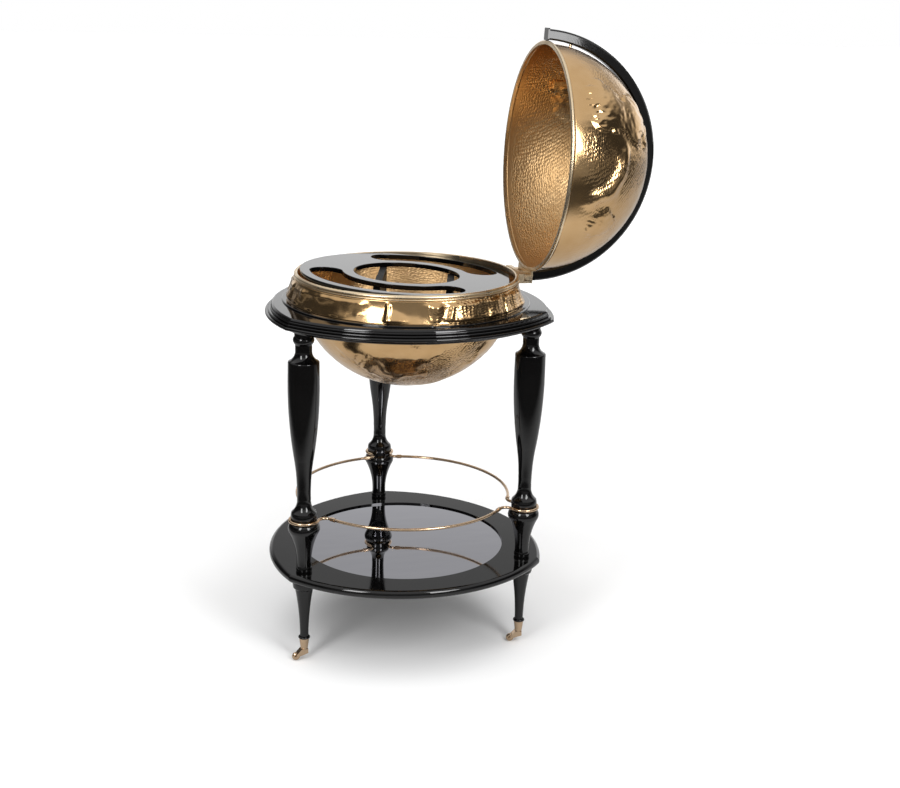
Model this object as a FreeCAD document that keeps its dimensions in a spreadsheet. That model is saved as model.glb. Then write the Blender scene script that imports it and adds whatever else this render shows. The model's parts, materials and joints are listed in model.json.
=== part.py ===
import FreeCAD, Part
import math
import os
import Sketcher
from types import SimpleNamespace

# Floor globe bar: a brass globe that opens at its middle, in a black three-legged stand on castors.
# Millimetres, +Z up, the floor at zero, the globe's upright axis on the origin, the hinge on +X.

SIZES = {
    # Globe shell and its two rims
    "globe_radius": 298,
    "shell_wall": 2,
    "globe_rise": 63,
    "rim_drop": 8,
    "rim_inset": 0.5,
    "rim_wide": 6.5,
    "low_bead_tall": 4.5,
    "low_bead_bulge": 2,
    "high_bead_tall": 8.5,
    "high_bead_bulge": 3,
    "rim_crown": 1.5,
    "lid_gap": 0.5,
    "lid_rim_outset": 3,
    "lid_rim_wide": 7.5,
    "lid_rim_tall": 8,
    "lid_rim_bulge": 3,
    "lid_open": 92.87,
    # Flared skirt round the bowl, between the seat and the rim
    "skirt_wall": 2,
    "skirt_flare": 18,
    "skirt_hollow": 4,
    # Hinge
    "hinge_offset": 15.5,
    "hinge_drop": 11.7,
    "hinge_long": 126,
    "knuckle_radius": 5.5,
    "knuckle_clear": 1,
    "middle_knuckle": 27,
    "bowl_knuckle": 26,
    "knuckle_gap": 0.5,
    "pin_radius": 2.5,
    "pin_overrun": 1.5,
    "leaf_lift": 0.25,
    "leaf_thick": 4.5,
    "leaf_tail": 14,
    "stop_drop": 14,
    "stop_gap": 0.3,
    # Meridian band over the lid
    "band_standoff": 7.6,
    "band_deep": 27.6,
    "band_wide": 30,
    "band_chamfer": 4.6,
    "lip_overhang": 2.5,
    "lip_fillet": 4,
    "stud_radius": 4,
    "stud_bearing": 13.3,
    # Bar tray and the boards under it
    "tray_play": 6,
    "tray_thick": 12,
    "tray_tilt": 2.3,
    "tray_sink": 2.7,
    "tray_edge_wide": 25,
    "slot_wide": 88,
    "slot_land_wide": 30,
    "back_slot_start": 8.7,
    "back_slot_end": 93.4,
    "front_slot_start": 176,
    "front_slot_end": 287.5,
    "flat_deep": 10,
    "hinge_flat_bearing": 345,
    "back_flat_bearing": 96,
    "board_inset": 57,
    "board_shift": 23,
    "board_turn": 15,
    "board_thick": 18,
    "board_lap": 11.7,
    "stretcher_radius": 8,
    "stretcher_inset": 25,
    "stretcher_rise": 106,
    # Horizon ring and the seat on it
    "ring_overhang": 59,
    "ring_bow": 36.4,
    "ring_thick": 40.5,
    "ring_cove_tall": 12.5,
    "ring_cove_deep": 28,
    "ring_cove_rise": 5,
    "ring_nose_tall": 8,
    "ring_nose_bulge": 3,
    "ring_reed_tall": 6,
    "ring_reed_step": 6.5,
    "ring_reed_bulge": 1.5,
    "seat_tall": 4,
    "seat_wide": 42,
    "seat_round": 2.5,
    # Shelf and its glass
    "shelf_overhang": 51,
    "shelf_bow": 34,
    "shelf_thick": 24,
    "shelf_bullnose": 10,
    "glass_inset": 65.5,
    "glass_thick": 6,
    "glass_sink": 4.5,
    # Turned legs, measured up from the shelf
    "leg_offset": 50,
    "leg_collar_radius": 20.4,
    "leg_collar_tall": 14,
    "leg_collar_bulge": 1.2,
    "vase_tall": 98,
    "vase_foot_radius": 19.8,
    "vase_hollow": 6.8,
    "low_bulge_radius": 40.5,
    "low_bulge_tall": 26,
    "low_bulge_swell": 4.6,
    "groove_tall": 10,
    "high_bulge_radius": 33,
    "high_bulge_tall": 18,
    "high_bulge_swell": 1.5,
    "throat_tall": 36,
    "throat_hollow": 4.8,
    "waist_radius": 18.3,
    "waist_tall": 28,
    "waist_hollow": 0.5,
    "flare_tall": 79,
    "flare_radius": 25,
    "flare_hollow": 1.4,
    "belly_tall": 216,
    "belly_radius": 41.2,
    "belly_swell": 4.7,
    "shoulder_tall": 48,
    "shoulder_radius": 40.6,
    "shoulder_round": 3.5,
    "cove_tall": 29.5,
    "cove_hollow": 5,
    "neck_radius": 21.8,
    "neck_tall": 13,
    "bead_root_radius": 24.8,
    "bead_root_tall": 5,
    "leg_bead_tall": 16,
    "leg_bead_bulge": 2.7,
    "leg_cap_tall": 11.5,
    "leg_cap_radius": 23.8,
    # Turned feet, measured up from the castor cup
    "tenon_radius": 10.2,
    "tenon_end_radius": 8,
    "tenon_long": 24,
    "foot_bead_tall": 6,
    "foot_bead_radius": 14,
    "foot_bead_bulge": 2,
    "ankle_radius": 11.4,
    "foot_taper_tall": 138.5,
    "foot_top_radius": 24,
    "foot_hollow": 3.1,
    "foot_collar_tall": 29,
    "foot_collar_radius": 29,
    "foot_collar_ease": 5,
    "foot_collar_bulge": 1.7,
    # Rods that tie legs, shelf, feet and ring together
    "rod_radius": 5,
    "rod_reach_up": 70,
    "rod_reach_down": 86,
    "rod_into_ring": 32,
    "rod_into_leg": 60,
    "rod_room": 2,
    "fit_gap": 0.05,
    "seat_gap": 0.2,
    # Gallery rail
    "rail_inset": 54,
    "rail_rod": 4,
    "rail_bend": 20,
    "loop_radius": 38,
    "sleeve_radius": 5.6,
    "sleeve_half_angle": 1.4,
    # Castors
    "wheel_radius": 11,
    "wheel_wide": 12,
    "wheel_crown": 1.2,
    "tread_ease": 1.5,
    "wheel_side_gap": 0.8,
    "axle_radius": 2.5,
    "axle_head_radius": 4,
    "axle_head_thick": 1.5,
    "horn_plate": 2.6,
    "horn_trail": 23,
    "horn_tall": 10,
    "horn_crown_thick": 12,
    "horn_crown_radius": 9,
    "horn_boss": 5,
    "horn_wheel_gap": 1,
    "swivel_gap": 0.3,
    "swivel_pin_radius": 3,
    "swivel_pin_tall": 4.5,
    "cup_tall": 30.5,
    "cup_top_radius": 13.6,
    "cup_low_radius": 9.6,
    # Clips that hold the bowl under the ring
    "clip_thick": 3,
    "clip_wide": 34,
    "clip_lap": 39,
    "clip_screw_radius": 2.5,
    "clip_screw_long": 18,
    "clip_head_radius": 5,
    "clip_head_thick": 2.5,
    "clip_screw_inset": 18,
    "clip_screw_apart": 18,
}

LEG_BEARINGS = {"back": 90, "front_left": 210, "front_right": 330}
CASTOR_HEADINGS = {"back": 150, "front_left": 186, "front_right": 170}
SIDE_BEARINGS = {"right": 30, "left": 150, "front": 270}
FULL_TURN = 360
HALF_TURN = 180
QUARTER_TURN = 90
LEG_STEP = FULL_TURN / len(LEG_BEARINGS)
ALONG_X = (1, 0, 0)
ALONG_Y = (0, 1, 0)
ALONG_Z = (0, 0, 1)
CLOCKWISE = (0, 0, -1)
NEAR_ZERO = 1e-6

doc = FreeCAD.newDocument("globe_bar")
sheet = doc.addObject("Spreadsheet::Sheet", "Sizes")
for row, (alias, number) in enumerate(SIZES.items(), start=1):
    sheet.set("A%d" % row, alias)
    sheet.set("B%d" % row, str(number))
    sheet.setAlias("B%d" % row, alias)
doc.recompute()


class Size:
    """A length or angle: its number now and the sheet formula it comes from."""

    def __init__(self, text, value):
        self.text = text
        self.value = float(value)

    def mixed(self, sign, other, value):
        return Size("(%s %s %s)" % (self.text, sign, other.text), value)

    def __add__(self, other):
        other = as_size(other)
        return self.mixed("+", other, self.value + other.value)

    def __sub__(self, other):
        other = as_size(other)
        return self.mixed("-", other, self.value - other.value)

    def __mul__(self, other):
        other = as_size(other)
        return self.mixed("*", other, self.value * other.value)

    def __truediv__(self, other):
        other = as_size(other)
        return self.mixed("/", other, self.value / other.value)

    def __radd__(self, other):
        return as_size(other) + self

    def __rsub__(self, other):
        return as_size(other) - self

    def __rmul__(self, other):
        return as_size(other) * self

    def __neg__(self):
        return as_size(0) - self


def as_size(number):
    return number if isinstance(number, Size) else Size("%.10g" % number, number)


def root(size):
    return Size("sqrt(%s)" % size.text, math.sqrt(size.value))


def cosine(angle):
    angle = as_size(angle)
    return Size("cos(%s)" % angle.text, math.cos(math.radians(angle.value)))


def sine(angle):
    angle = as_size(angle)
    return Size("sin(%s)" % angle.text, math.sin(math.radians(angle.value)))


def angle_between(near_a, near_b, opposite):
    """Angle of a triangle from its two near sides and the side across from it."""
    ratio = (near_a * near_a + near_b * near_b - opposite * opposite) / (2 * near_a * near_b)
    return Size("(acos(%s) / 1 deg)" % ratio.text, math.degrees(math.acos(ratio.value)))


def across(radius, height):
    """Half-width of a ball of that radius at a height from its centre."""
    return root(radius * radius - height * height)


def spot(radius, bearing):
    """Plan position at a radius and a bearing."""
    return radius * cosine(bearing), radius * sine(bearing)


def bind(obj, **sizes):
    for name, size in sizes.items():
        obj.setExpression(name, as_size(size).text)
    return obj


def set_at(obj, x=0, y=0, z=0, turn=None, axis=ALONG_Z):
    """Place an object by sheet formulas: its origin, and a turn about one axis."""
    if turn is not None:
        spin = FreeCAD.Rotation(FreeCAD.Vector(*axis), as_size(turn).value)
        obj.Placement = FreeCAD.Placement(FreeCAD.Vector(), spin)
        obj.setExpression("Placement.Rotation.Angle", as_size(turn).text)
    for name, size in (("x", x), ("y", y), ("z", z)):
        obj.setExpression("Placement.Base." + name, as_size(size).text)
    return obj


def pin_along(sketch, geo, end, kind, size):
    """Hold one sketch point at a distance from the origin, or on the axis where that is zero."""
    if abs(size.value) < NEAR_ZERO:
        axis = -2 if kind == "DistanceX" else -1
        sketch.addConstraint(Sketcher.Constraint("PointOnObject", geo, end, axis))
        return
    ends = (-1, 1, geo, end) if size.value > 0 else (geo, end, -1, 1)
    ahead = size if size.value > 0 else -size
    index = sketch.addConstraint(Sketcher.Constraint(kind, *ends, ahead.value))
    sketch.setExpression("Constraints[%d]" % index, ahead.text)


def pin_arc(sketch, geo, radius, near, far, half_turn):
    """Hold an arc between held ends: a half circle by its centre, any other by its radius."""
    if not half_turn:
        index = sketch.addConstraint(Sketcher.Constraint("Radius", geo, radius.value))
        sketch.setExpression("Constraints[%d]" % index, radius.text)
    elif abs((far[0] - near[0]).value) > abs((far[1] - near[1]).value):
        pin_along(sketch, geo, 3, "DistanceY", (near[1] + far[1]) / 2)
    else:
        pin_along(sketch, geo, 3, "DistanceX", (near[0] + far[0]) / 2)


def arc_rise(step, start, end):
    """Radius of an arc step, and how far it stands off its chord to the right of travel."""
    across_x = end[0] - start[0]
    across_y = end[1] - start[1]
    chord_squared = across_x * across_x + across_y * across_y
    if len(step) == 3:
        rise = as_size(step[2])
        height = rise if rise.value > 0 else -rise
        return chord_squared / (8 * height) + height / 2, rise.value
    radius, side = step[2:]
    return radius, side * (radius - root(radius * radius - chord_squared / 4)).value


def outline(body, plane, start, *steps):
    """Closed outline on a body's own plane.

    A step is (x, y) for a straight side, (x, y, rise) for an arc that stands off its chord,
    or (x, y, radius, side) for an arc of that radius; right of travel is the positive side.
    """
    base = [item for item in body.Origin.OriginFeatures if item.Role == plane][0]
    sketch = body.newObject("Sketcher::SketchObject", body.Name + "_outline")
    sketch.AttachmentSupport = [(base, "")]
    sketch.MapMode = "FlatFace"
    corners = [(as_size(step[0]), as_size(step[1])) for step in (start,) + steps]
    bends = list(steps)
    first, last = corners[0], corners[-1]
    if abs(first[0].value - last[0].value) + abs(first[1].value - last[1].value) < NEAR_ZERO:
        corners.pop()
    else:
        bends.append(first)
    count = len(corners)
    starts = []
    ends = []
    for index, step in enumerate(bends):
        near, far = corners[index], corners[(index + 1) % count]
        p = FreeCAD.Vector(near[0].value, near[1].value, 0)
        q = FreeCAD.Vector(far[0].value, far[1].value, 0)
        if len(step) == 2:
            sketch.addGeometry(Part.LineSegment(p, q))
            starts.append(1)
            ends.append(2)
            continue
        radius, rise = arc_rise(step, near, far)
        along = (q - p).normalize()
        middle = (p + q) / 2 + FreeCAD.Vector(along.y, -along.x, 0) * rise
        forward = rise > 0
        sketch.addGeometry(Part.Arc(p, middle, q) if forward else Part.Arc(q, middle, p))
        starts.append(1 if forward else 2)
        ends.append(2 if forward else 1)
        pin_arc(sketch, index, radius, near, far, abs(abs(rise) - p.distanceToPoint(q) / 2) < NEAR_ZERO)
    for index in range(count):
        after = (index + 1) % count
        sketch.addConstraint(Sketcher.Constraint("Coincident", index, ends[index], after, starts[after]))
        pin_along(sketch, index, starts[index], "DistanceX", corners[index][0])
        pin_along(sketch, index, starts[index], "DistanceY", corners[index][1])
    return sketch


def new_body(label):
    body = doc.addObject("PartDesign::Body", label)
    body.Label = label
    return body


def turned(label, start, *steps, plane="XZ_Plane"):
    """A piece turned about the upright axis of its own outline."""
    body = new_body(label)
    sketch = outline(body, plane, start, *steps)
    turn = body.newObject("PartDesign::Revolution", label + "_turned")
    turn.Profile = sketch
    turn.ReferenceAxis = (sketch, ["V_Axis"])
    turn.Angle = FULL_TURN
    sketch.Visibility = False
    return body


def padded(body, plane, length, start, *steps, both_ways=False, backward=False):
    """A pad added to a body, from its own plane."""
    sketch = outline(body, plane, start, *steps)
    pad = body.newObject("PartDesign::Pad", body.Name + "_pad")
    pad.Profile = sketch
    bind(pad, Length=length)
    if both_ways:
        pad.SideType = "Symmetric"
    pad.Reversed = backward
    sketch.Visibility = False
    return pad


def pocket(body, plane, depth, start, *steps, both_ways=False, backward=False):
    """A pocket cut into a body, from its own plane."""
    sketch = outline(body, plane, start, *steps)
    hollow = body.newObject("PartDesign::Pocket", body.Name + "_pocket")
    hollow.Profile = sketch
    bind(hollow, Length=depth)
    if both_ways:
        hollow.SideType = "Symmetric"
    hollow.Reversed = backward
    sketch.Visibility = False
    return hollow


def disc_steps(radius):
    """A full circle as two half arcs."""
    return (radius, 0), (-radius, 0, radius), (radius, 0, radius)


def primitive(kind, name, **sizes):
    return bind(doc.addObject("Part::" + kind, name), **sizes)


def upright(name, radius, low, tall, x=0, y=0):
    """An upright cylinder standing at a level."""
    return set_at(primitive("Cylinder", name, Radius=radius, Height=tall), x, y, low)


def brick(name, x_low, x_high, y_low, y_high, z_low, z_high):
    """A block between two corners."""
    obj = primitive("Box", name, Length=x_high - x_low, Width=y_high - y_low, Height=z_high - z_low)
    return set_at(obj, x_low, y_low, z_low)


def combined(kind, name, pieces):
    """Fused, common or grouped pieces."""
    obj = doc.addObject("Part::" + kind, name)
    if kind == "Compound":
        obj.Links = list(pieces)
    else:
        obj.Shapes = list(pieces)
    return obj


def trimmed(kind, name, base, tool):
    obj = doc.addObject("Part::" + kind, name)
    obj.Base = base
    obj.Tool = tool
    return obj


S = SimpleNamespace(**{alias: Size("Sizes." + alias, number) for alias, number in SIZES.items()})
nodes = []


def keep(obj, label):
    """Note an object as one named sub-part."""
    obj.Label = label
    nodes.append(obj)
    return obj


# Levels, stacked up from the floor
cup_low = 2 * S.wheel_radius + S.horn_tall
cup_high = cup_low + S.cup_tall
taper_low = cup_high + S.foot_bead_tall
collar_low = taper_low + S.foot_taper_tall
shelf_low = collar_low + S.foot_collar_tall
shelf_top = shelf_low + S.shelf_thick
vase_low = shelf_top + S.leg_collar_tall
bulge_low = vase_low + S.vase_tall
groove_low = bulge_low + S.low_bulge_tall
groove_top = groove_low + S.groove_tall
rail_level = groove_low + S.groove_tall / 2
throat_low = groove_top + S.high_bulge_tall
waist_low = throat_low + S.throat_tall
flare_low = waist_low + S.waist_tall
belly_low = flare_low + S.flare_tall
shoulder_low = belly_low + S.belly_tall
shoulder_top = shoulder_low + S.shoulder_tall
cove_low = shoulder_top + S.shoulder_round
neck_low = cove_low + S.cove_tall
bead_root = neck_low + S.neck_tall
bead_low = bead_root + S.bead_root_tall
cap_low = bead_low + S.leg_bead_tall
ring_low = cap_low + S.leg_cap_tall
ring_top = ring_low + S.ring_thick
seat_top = ring_top + S.seat_tall
globe_middle = seat_top + S.globe_rise
rim_low = globe_middle - S.rim_drop
rim_top = rim_low + S.low_bead_tall + S.high_bead_tall + S.rim_crown
split_level = rim_top + S.lid_gap
hinge_level = split_level - S.hinge_drop
leaf_low = split_level + S.leaf_lift
leaf_top = leaf_low + S.leaf_thick
skirt_top = rim_low - S.seat_gap

# Radii that follow the globe
globe_inside = S.globe_radius - S.shell_wall
bowl_clear = S.globe_radius + S.seat_gap
skirt_outer = bowl_clear + S.skirt_wall
skirt_foot = skirt_outer + S.skirt_flare
rim_face = S.globe_radius - S.rim_inset
rim_inner = rim_face - S.rim_wide
rim_outer = rim_face + S.high_bead_bulge
lid_rim_face = S.globe_radius + S.lid_rim_outset
lid_rim_outer = lid_rim_face + S.lid_rim_bulge
hinge_reach = rim_outer + S.hinge_offset
leg_circle = S.globe_radius + S.leg_offset
glass_radius = leg_circle - S.glass_inset
rail_radius = leg_circle - S.rail_inset
tray_radius = rim_inner - S.tray_play
slot_outer = tray_radius - S.tray_edge_wide
slot_inner = slot_outer - S.slot_wide
tray_hole = slot_inner - S.slot_land_wide
rod_bore = S.rod_radius + S.fit_gap


# Legs
def turned_leg(name):
    """One leg from the shelf to the ring, bored at both ends for its rods."""
    groove_radius = S.loop_radius - S.rail_rod - S.fit_gap
    rod_end = shelf_top + S.rod_reach_up + S.rod_room
    top_end = ring_low - S.rod_into_leg - S.rod_room
    leg = turned(
        "leg_" + name,
        (0, rod_end),
        (rod_bore, rod_end),
        (rod_bore, shelf_top),
        (S.leg_collar_radius, shelf_top),
        (S.leg_collar_radius, vase_low, S.leg_collar_bulge),
        (S.vase_foot_radius, vase_low),
        (S.low_bulge_radius, bulge_low, -S.vase_hollow),
        (groove_radius, groove_low, S.low_bulge_swell),
        (groove_radius, groove_top),
        (S.high_bulge_radius, throat_low, S.high_bulge_swell),
        (S.waist_radius, waist_low, -S.throat_hollow),
        (S.waist_radius, flare_low, -S.waist_hollow),
        (S.flare_radius, belly_low, -S.flare_hollow),
        (S.belly_radius, shoulder_low, S.belly_swell),
        (S.shoulder_radius, shoulder_top),
        (S.shoulder_radius - S.shoulder_round, cove_low, S.shoulder_round, 1),
        (S.neck_radius, neck_low, -S.cove_hollow),
        (S.neck_radius, bead_root),
        (S.bead_root_radius, bead_low),
        (S.bead_root_radius, cap_low, S.leg_bead_bulge),
        (S.leg_cap_radius, cap_low),
        (S.leg_cap_radius, ring_low),
        (rod_bore, ring_low),
        (rod_bore, top_end),
        (0, top_end),
    )
    return leg


def turned_foot(name):
    """One foot from the castor cup to the shelf, bored for its rod, with a tenon for the cup."""
    rod_end = shelf_low - S.rod_reach_down - S.rod_room
    collar_eased = collar_low + S.foot_collar_ease
    foot = turned(
        "foot_" + name,
        (0, cup_high - S.tenon_long),
        (S.tenon_end_radius, cup_high - S.tenon_long),
        (S.tenon_radius, cup_high),
        (S.foot_bead_radius, cup_high),
        (S.foot_bead_radius, taper_low, S.foot_bead_bulge),
        (S.ankle_radius, taper_low),
        (S.foot_top_radius, collar_low, -S.foot_hollow),
        (S.foot_collar_radius, collar_eased),
        (S.foot_collar_radius, shelf_low, S.foot_collar_bulge),
        (rod_bore, shelf_low),
        (rod_bore, rod_end),
        (0, rod_end),
    )
    return foot


for name, bearing in LEG_BEARINGS.items():
    leg_x, leg_y = spot(leg_circle, bearing)
    keep(set_at(turned_leg(name), leg_x, leg_y), "leg_" + name)
    keep(set_at(turned_foot(name), leg_x, leg_y), "foot_" + name)

# Rods through the shelf and up into the ring
shelf_rods = []
ring_rods = []
for name, bearing in LEG_BEARINGS.items():
    leg_x, leg_y = spot(leg_circle, bearing)
    low = shelf_low - S.rod_reach_down
    long = shelf_top + S.rod_reach_up - low
    shelf_rods.append(upright("shelf_rod_" + name, S.rod_radius, low, long, leg_x, leg_y))
    low = ring_low - S.rod_into_leg
    long = S.rod_into_leg + S.rod_into_ring
    ring_rods.append(upright("ring_rod_" + name, S.rod_radius, low, long, leg_x, leg_y))
keep(combined("Compound", "leg_tie_rods", shelf_rods), "leg_tie_rods")
keep(combined("Compound", "leg_ring_rods", ring_rods), "leg_ring_rods")


# Three-cornered boards with bowed sides
def bowed_board(name, corner_radius, bow, edge_steps, low, top):
    """A board whose three sides are arcs: three turned discs, each cut to its third and fused."""
    side_radius = corner_radius - bow
    offset = (corner_radius * corner_radius - side_radius * side_radius) / (2 * side_radius - corner_radius)
    reach = side_radius + offset
    thirds = []
    for side, bearing in SIDE_BEARINGS.items():
        disc = turned("%s_%s_disc" % (name, side), (0, low), *edge_steps(reach), (0, top))
        disc_x, disc_y = spot(offset, bearing + HALF_TURN)
        set_at(disc, disc_x, disc_y, turn=bearing)
        wedge = new_body("%s_%s_wedge" % (name, side))
        wedge_x, wedge_y = spot(2 * corner_radius, LEG_STEP / 2)
        padded(wedge, "XY_Plane", 2 * top, (0, 0), (wedge_x, -wedge_y), (wedge_x, wedge_y))
        set_at(wedge, turn=bearing)
        thirds.append(trimmed("Common", "%s_%s_third" % (name, side), disc, wedge))
    board = combined("MultiFuse", name + "_board", thirds)
    board.Refine = True
    return board


def ring_edge(reach):
    """Ring edge from below: cove, nose, two reeds and an eased top."""
    nose_low = ring_low + S.ring_cove_tall
    nose_top = nose_low + S.ring_nose_tall
    reed_top = nose_top + S.ring_reed_tall
    nose_root = reach - S.ring_nose_bulge
    first_reed = nose_root - S.ring_reed_step
    second_reed = first_reed - S.ring_reed_step
    return (
        (nose_root - S.ring_cove_deep, ring_low),
        (nose_root, nose_low, -S.ring_cove_rise),
        (nose_root, nose_top, S.ring_nose_bulge),
        (first_reed, nose_top),
        (first_reed, reed_top, S.ring_reed_bulge),
        (second_reed, reed_top),
        (second_reed, reed_top + S.ring_reed_tall, S.ring_reed_bulge),
        (second_reed - S.ring_reed_step, ring_top, S.ring_reed_bulge),
    )


def shelf_edge(reach):
    """Shelf edge: one bullnose."""
    root_radius = reach - S.shelf_bullnose
    return (root_radius, shelf_low), (root_radius, shelf_top, S.shelf_bullnose)


ring_corner = leg_circle + S.ring_overhang
ring_board = bowed_board("ring", ring_corner, S.ring_bow, ring_edge, ring_low, ring_top)
ring_bore = across(bowl_clear, globe_middle - ring_top) + S.seat_gap
ring_tools = [upright("ring_bore", ring_bore, ring_low - S.fit_gap, S.ring_thick + 2 * S.fit_gap)]
shelf_corner = leg_circle + S.shelf_overhang
shelf_board = bowed_board("shelf", shelf_corner, S.shelf_bow, shelf_edge, shelf_low, shelf_top)
glass_top = shelf_top - S.glass_sink
glass_low = glass_top - S.glass_thick
recess_radius = glass_radius + S.seat_gap
shelf_tools = [upright("shelf_recess", recess_radius, glass_low, S.glass_thick + 2 * S.glass_sink)]
for name, bearing in LEG_BEARINGS.items():
    leg_x, leg_y = spot(leg_circle, bearing)
    deep = S.rod_into_ring + S.rod_room
    ring_tools.append(upright("ring_hole_" + name, rod_bore, ring_low, deep, leg_x, leg_y))
    shelf_tools.append(upright("shelf_hole_" + name, rod_bore, shelf_low, S.shelf_thick, leg_x, leg_y))

# Clips and screws that hold the bowl under the ring
clip_reach = ring_bore + S.clip_lap
clip_screw_circle = clip_reach - S.clip_screw_inset
clip_plates = []
clip_screws = []
for side, bearing in SIDE_BEARINGS.items():
    plate = primitive("Box", "clip_" + side, Length=clip_reach, Width=S.clip_wide, Height=S.clip_thick)
    edge_x, edge_y = spot(S.clip_wide / 2, bearing - QUARTER_TURN)
    clip_plates.append(set_at(plate, edge_x, edge_y, ring_low - S.clip_thick, turn=bearing))
    for hand in (-1, 1):
        shift_x, shift_y = spot(S.clip_screw_apart / 2 * hand, bearing + QUARTER_TURN)
        screw_x, screw_y = spot(clip_screw_circle, bearing)
        spot_x = screw_x + shift_x
        spot_y = screw_y + shift_y
        tag = "%s_%s" % (side, "a" if hand < 0 else "b")
        low = ring_low - S.clip_thick
        long = S.clip_thick + S.clip_screw_long
        shank = upright("clip_shank_" + tag, S.clip_screw_radius, low, long, spot_x, spot_y)
        thick = S.clip_head_thick
        head = upright("clip_head_" + tag, S.clip_head_radius, low - thick, thick, spot_x, spot_y)
        clip_screws.append(combined("MultiFuse", "clip_screw_" + tag, [shank, head]))
        hole_radius = S.clip_screw_radius + S.fit_gap
        hole_long = long + S.rod_room
        ring_tools.append(upright("clip_hole_" + tag, hole_radius, low, hole_long, spot_x, spot_y))
ring_holes = combined("Compound", "ring_holes", ring_tools)
keep(trimmed("Cut", "horizon_ring", ring_board, ring_holes), "horizon_ring")
shelf_holes = combined("Compound", "shelf_holes", shelf_tools)
keep(trimmed("Cut", "shelf", shelf_board, shelf_holes), "shelf")
clip_ball = set_at(primitive("Sphere", "clip_ball", Radius=bowl_clear), z=globe_middle)
clip_tools = combined("Compound", "clip_tools", [clip_ball] + ring_tools[1 + len(LEG_BEARINGS):])
clip_group = combined("Compound", "clip_group", clip_plates)
keep(trimmed("Cut", "bowl_clips", clip_group, clip_tools), "bowl_clips")
keep(combined("Compound", "clip_screws", clip_screws), "clip_screws")

# Seat on the ring, and the shelf glass
seat_outer = ring_bore + S.seat_wide
seat_low_bore = across(bowl_clear, globe_middle - ring_top)
seat_top_bore = across(bowl_clear, globe_middle - seat_top)
keep(
    turned(
        "bowl_seat",
        (seat_low_bore, ring_top),
        (seat_outer, ring_top),
        (seat_outer, seat_top - S.seat_round),
        (seat_outer - S.seat_round, seat_top, S.seat_round, 1),
        (seat_top_bore, seat_top),
        (seat_low_bore, ring_top, bowl_clear, -1),
    ),
    "bowl_seat",
)
glass = primitive("Cylinder", "shelf_glass", Radius=glass_radius, Height=S.glass_thick)
keep(set_at(glass, z=glass_low), "shelf_glass")

# Gallery rail: loops round the legs, arcs between them, sleeves at the joins
bend_out = rail_radius + S.rail_bend
bend_leg = S.loop_radius + S.rail_bend
bend_bearing = angle_between(leg_circle, bend_out, bend_leg)
loop_cut = angle_between(leg_circle, bend_leg, bend_out)
bend_sweep = HALF_TURN - bend_bearing - loop_cut
join_bearing = bend_bearing + S.sleeve_half_angle


def rod_arc(name, radius, rod, start, sweep, x=0, y=0):
    """A bent round rod lying level at the rail's height."""
    arc = primitive("Torus", name, Radius1=radius, Radius2=rod, Angle3=sweep)
    return set_at(arc, x, y, rail_level, turn=start)


sleeves = []
for name, bearing in LEG_BEARINGS.items():
    leg_x, leg_y = spot(leg_circle, bearing)
    left_x, left_y = spot(bend_out, bearing + bend_bearing)
    right_x, right_y = spot(bend_out, bearing - bend_bearing)
    half = S.sleeve_half_angle
    loop_start = bearing + loop_cut - HALF_TURN
    loop_sweep = FULL_TURN - 2 * loop_cut
    bend_start = bearing + bend_bearing + HALF_TURN
    join_a = bearing + bend_bearing
    join_b = bearing - join_bearing
    pieces = [
        rod_arc("loop_" + name, S.loop_radius, S.rail_rod, loop_start, loop_sweep, leg_x, leg_y),
        rod_arc("bend_a_" + name, S.rail_bend, S.rail_rod, bend_start, bend_sweep, left_x, left_y),
        rod_arc("bend_b_" + name, S.rail_bend, S.rail_rod, bearing + loop_cut, bend_sweep, right_x, right_y),
        rod_arc("end_a_" + name, rail_radius, S.rail_rod, join_a, half),
        rod_arc("end_b_" + name, rail_radius, S.rail_rod, join_b, half),
    ]
    keep(combined("MultiFuse", "rail_loop_" + name, pieces), "rail_loop_" + name)
    arc_sweep = LEG_STEP - 2 * join_bearing
    arc = rod_arc("rail_arc_" + name, rail_radius, S.rail_rod, bearing + join_bearing, arc_sweep)
    keep(arc, "rail_arc_" + name)
    sleeves.append(rod_arc("sleeve_a_" + name, rail_radius, S.sleeve_radius, join_a, 2 * half))
    sleeves.append(rod_arc("sleeve_b_" + name, rail_radius, S.sleeve_radius, join_b - half, 2 * half))
sleeve_group = combined("Compound", "sleeve_group", sleeves)
sleeve_bore = rod_arc("sleeve_bore", rail_radius, S.rail_rod + S.fit_gap, 1, FULL_TURN)
keep(trimmed("Cut", "rail_sleeves", sleeve_group, sleeve_bore), "rail_sleeves")


# Castors: a cup on each foot, a swivelling horn, its axle and a wheel
def castor_cup(name):
    """A tapered cup over the foot's tenon, bored in its floor for the swivel pin."""
    floor = cup_high - S.tenon_long - S.fit_gap
    pin_bore = S.swivel_pin_radius + S.fit_gap
    return turned(
        "castor_cup_" + name,
        (pin_bore, cup_low),
        (S.cup_low_radius, cup_low),
        (S.cup_top_radius, cup_high),
        (S.tenon_radius + S.fit_gap, cup_high),
        (S.tenon_end_radius + S.fit_gap, floor),
        (pin_bore, floor),
    )


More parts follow.
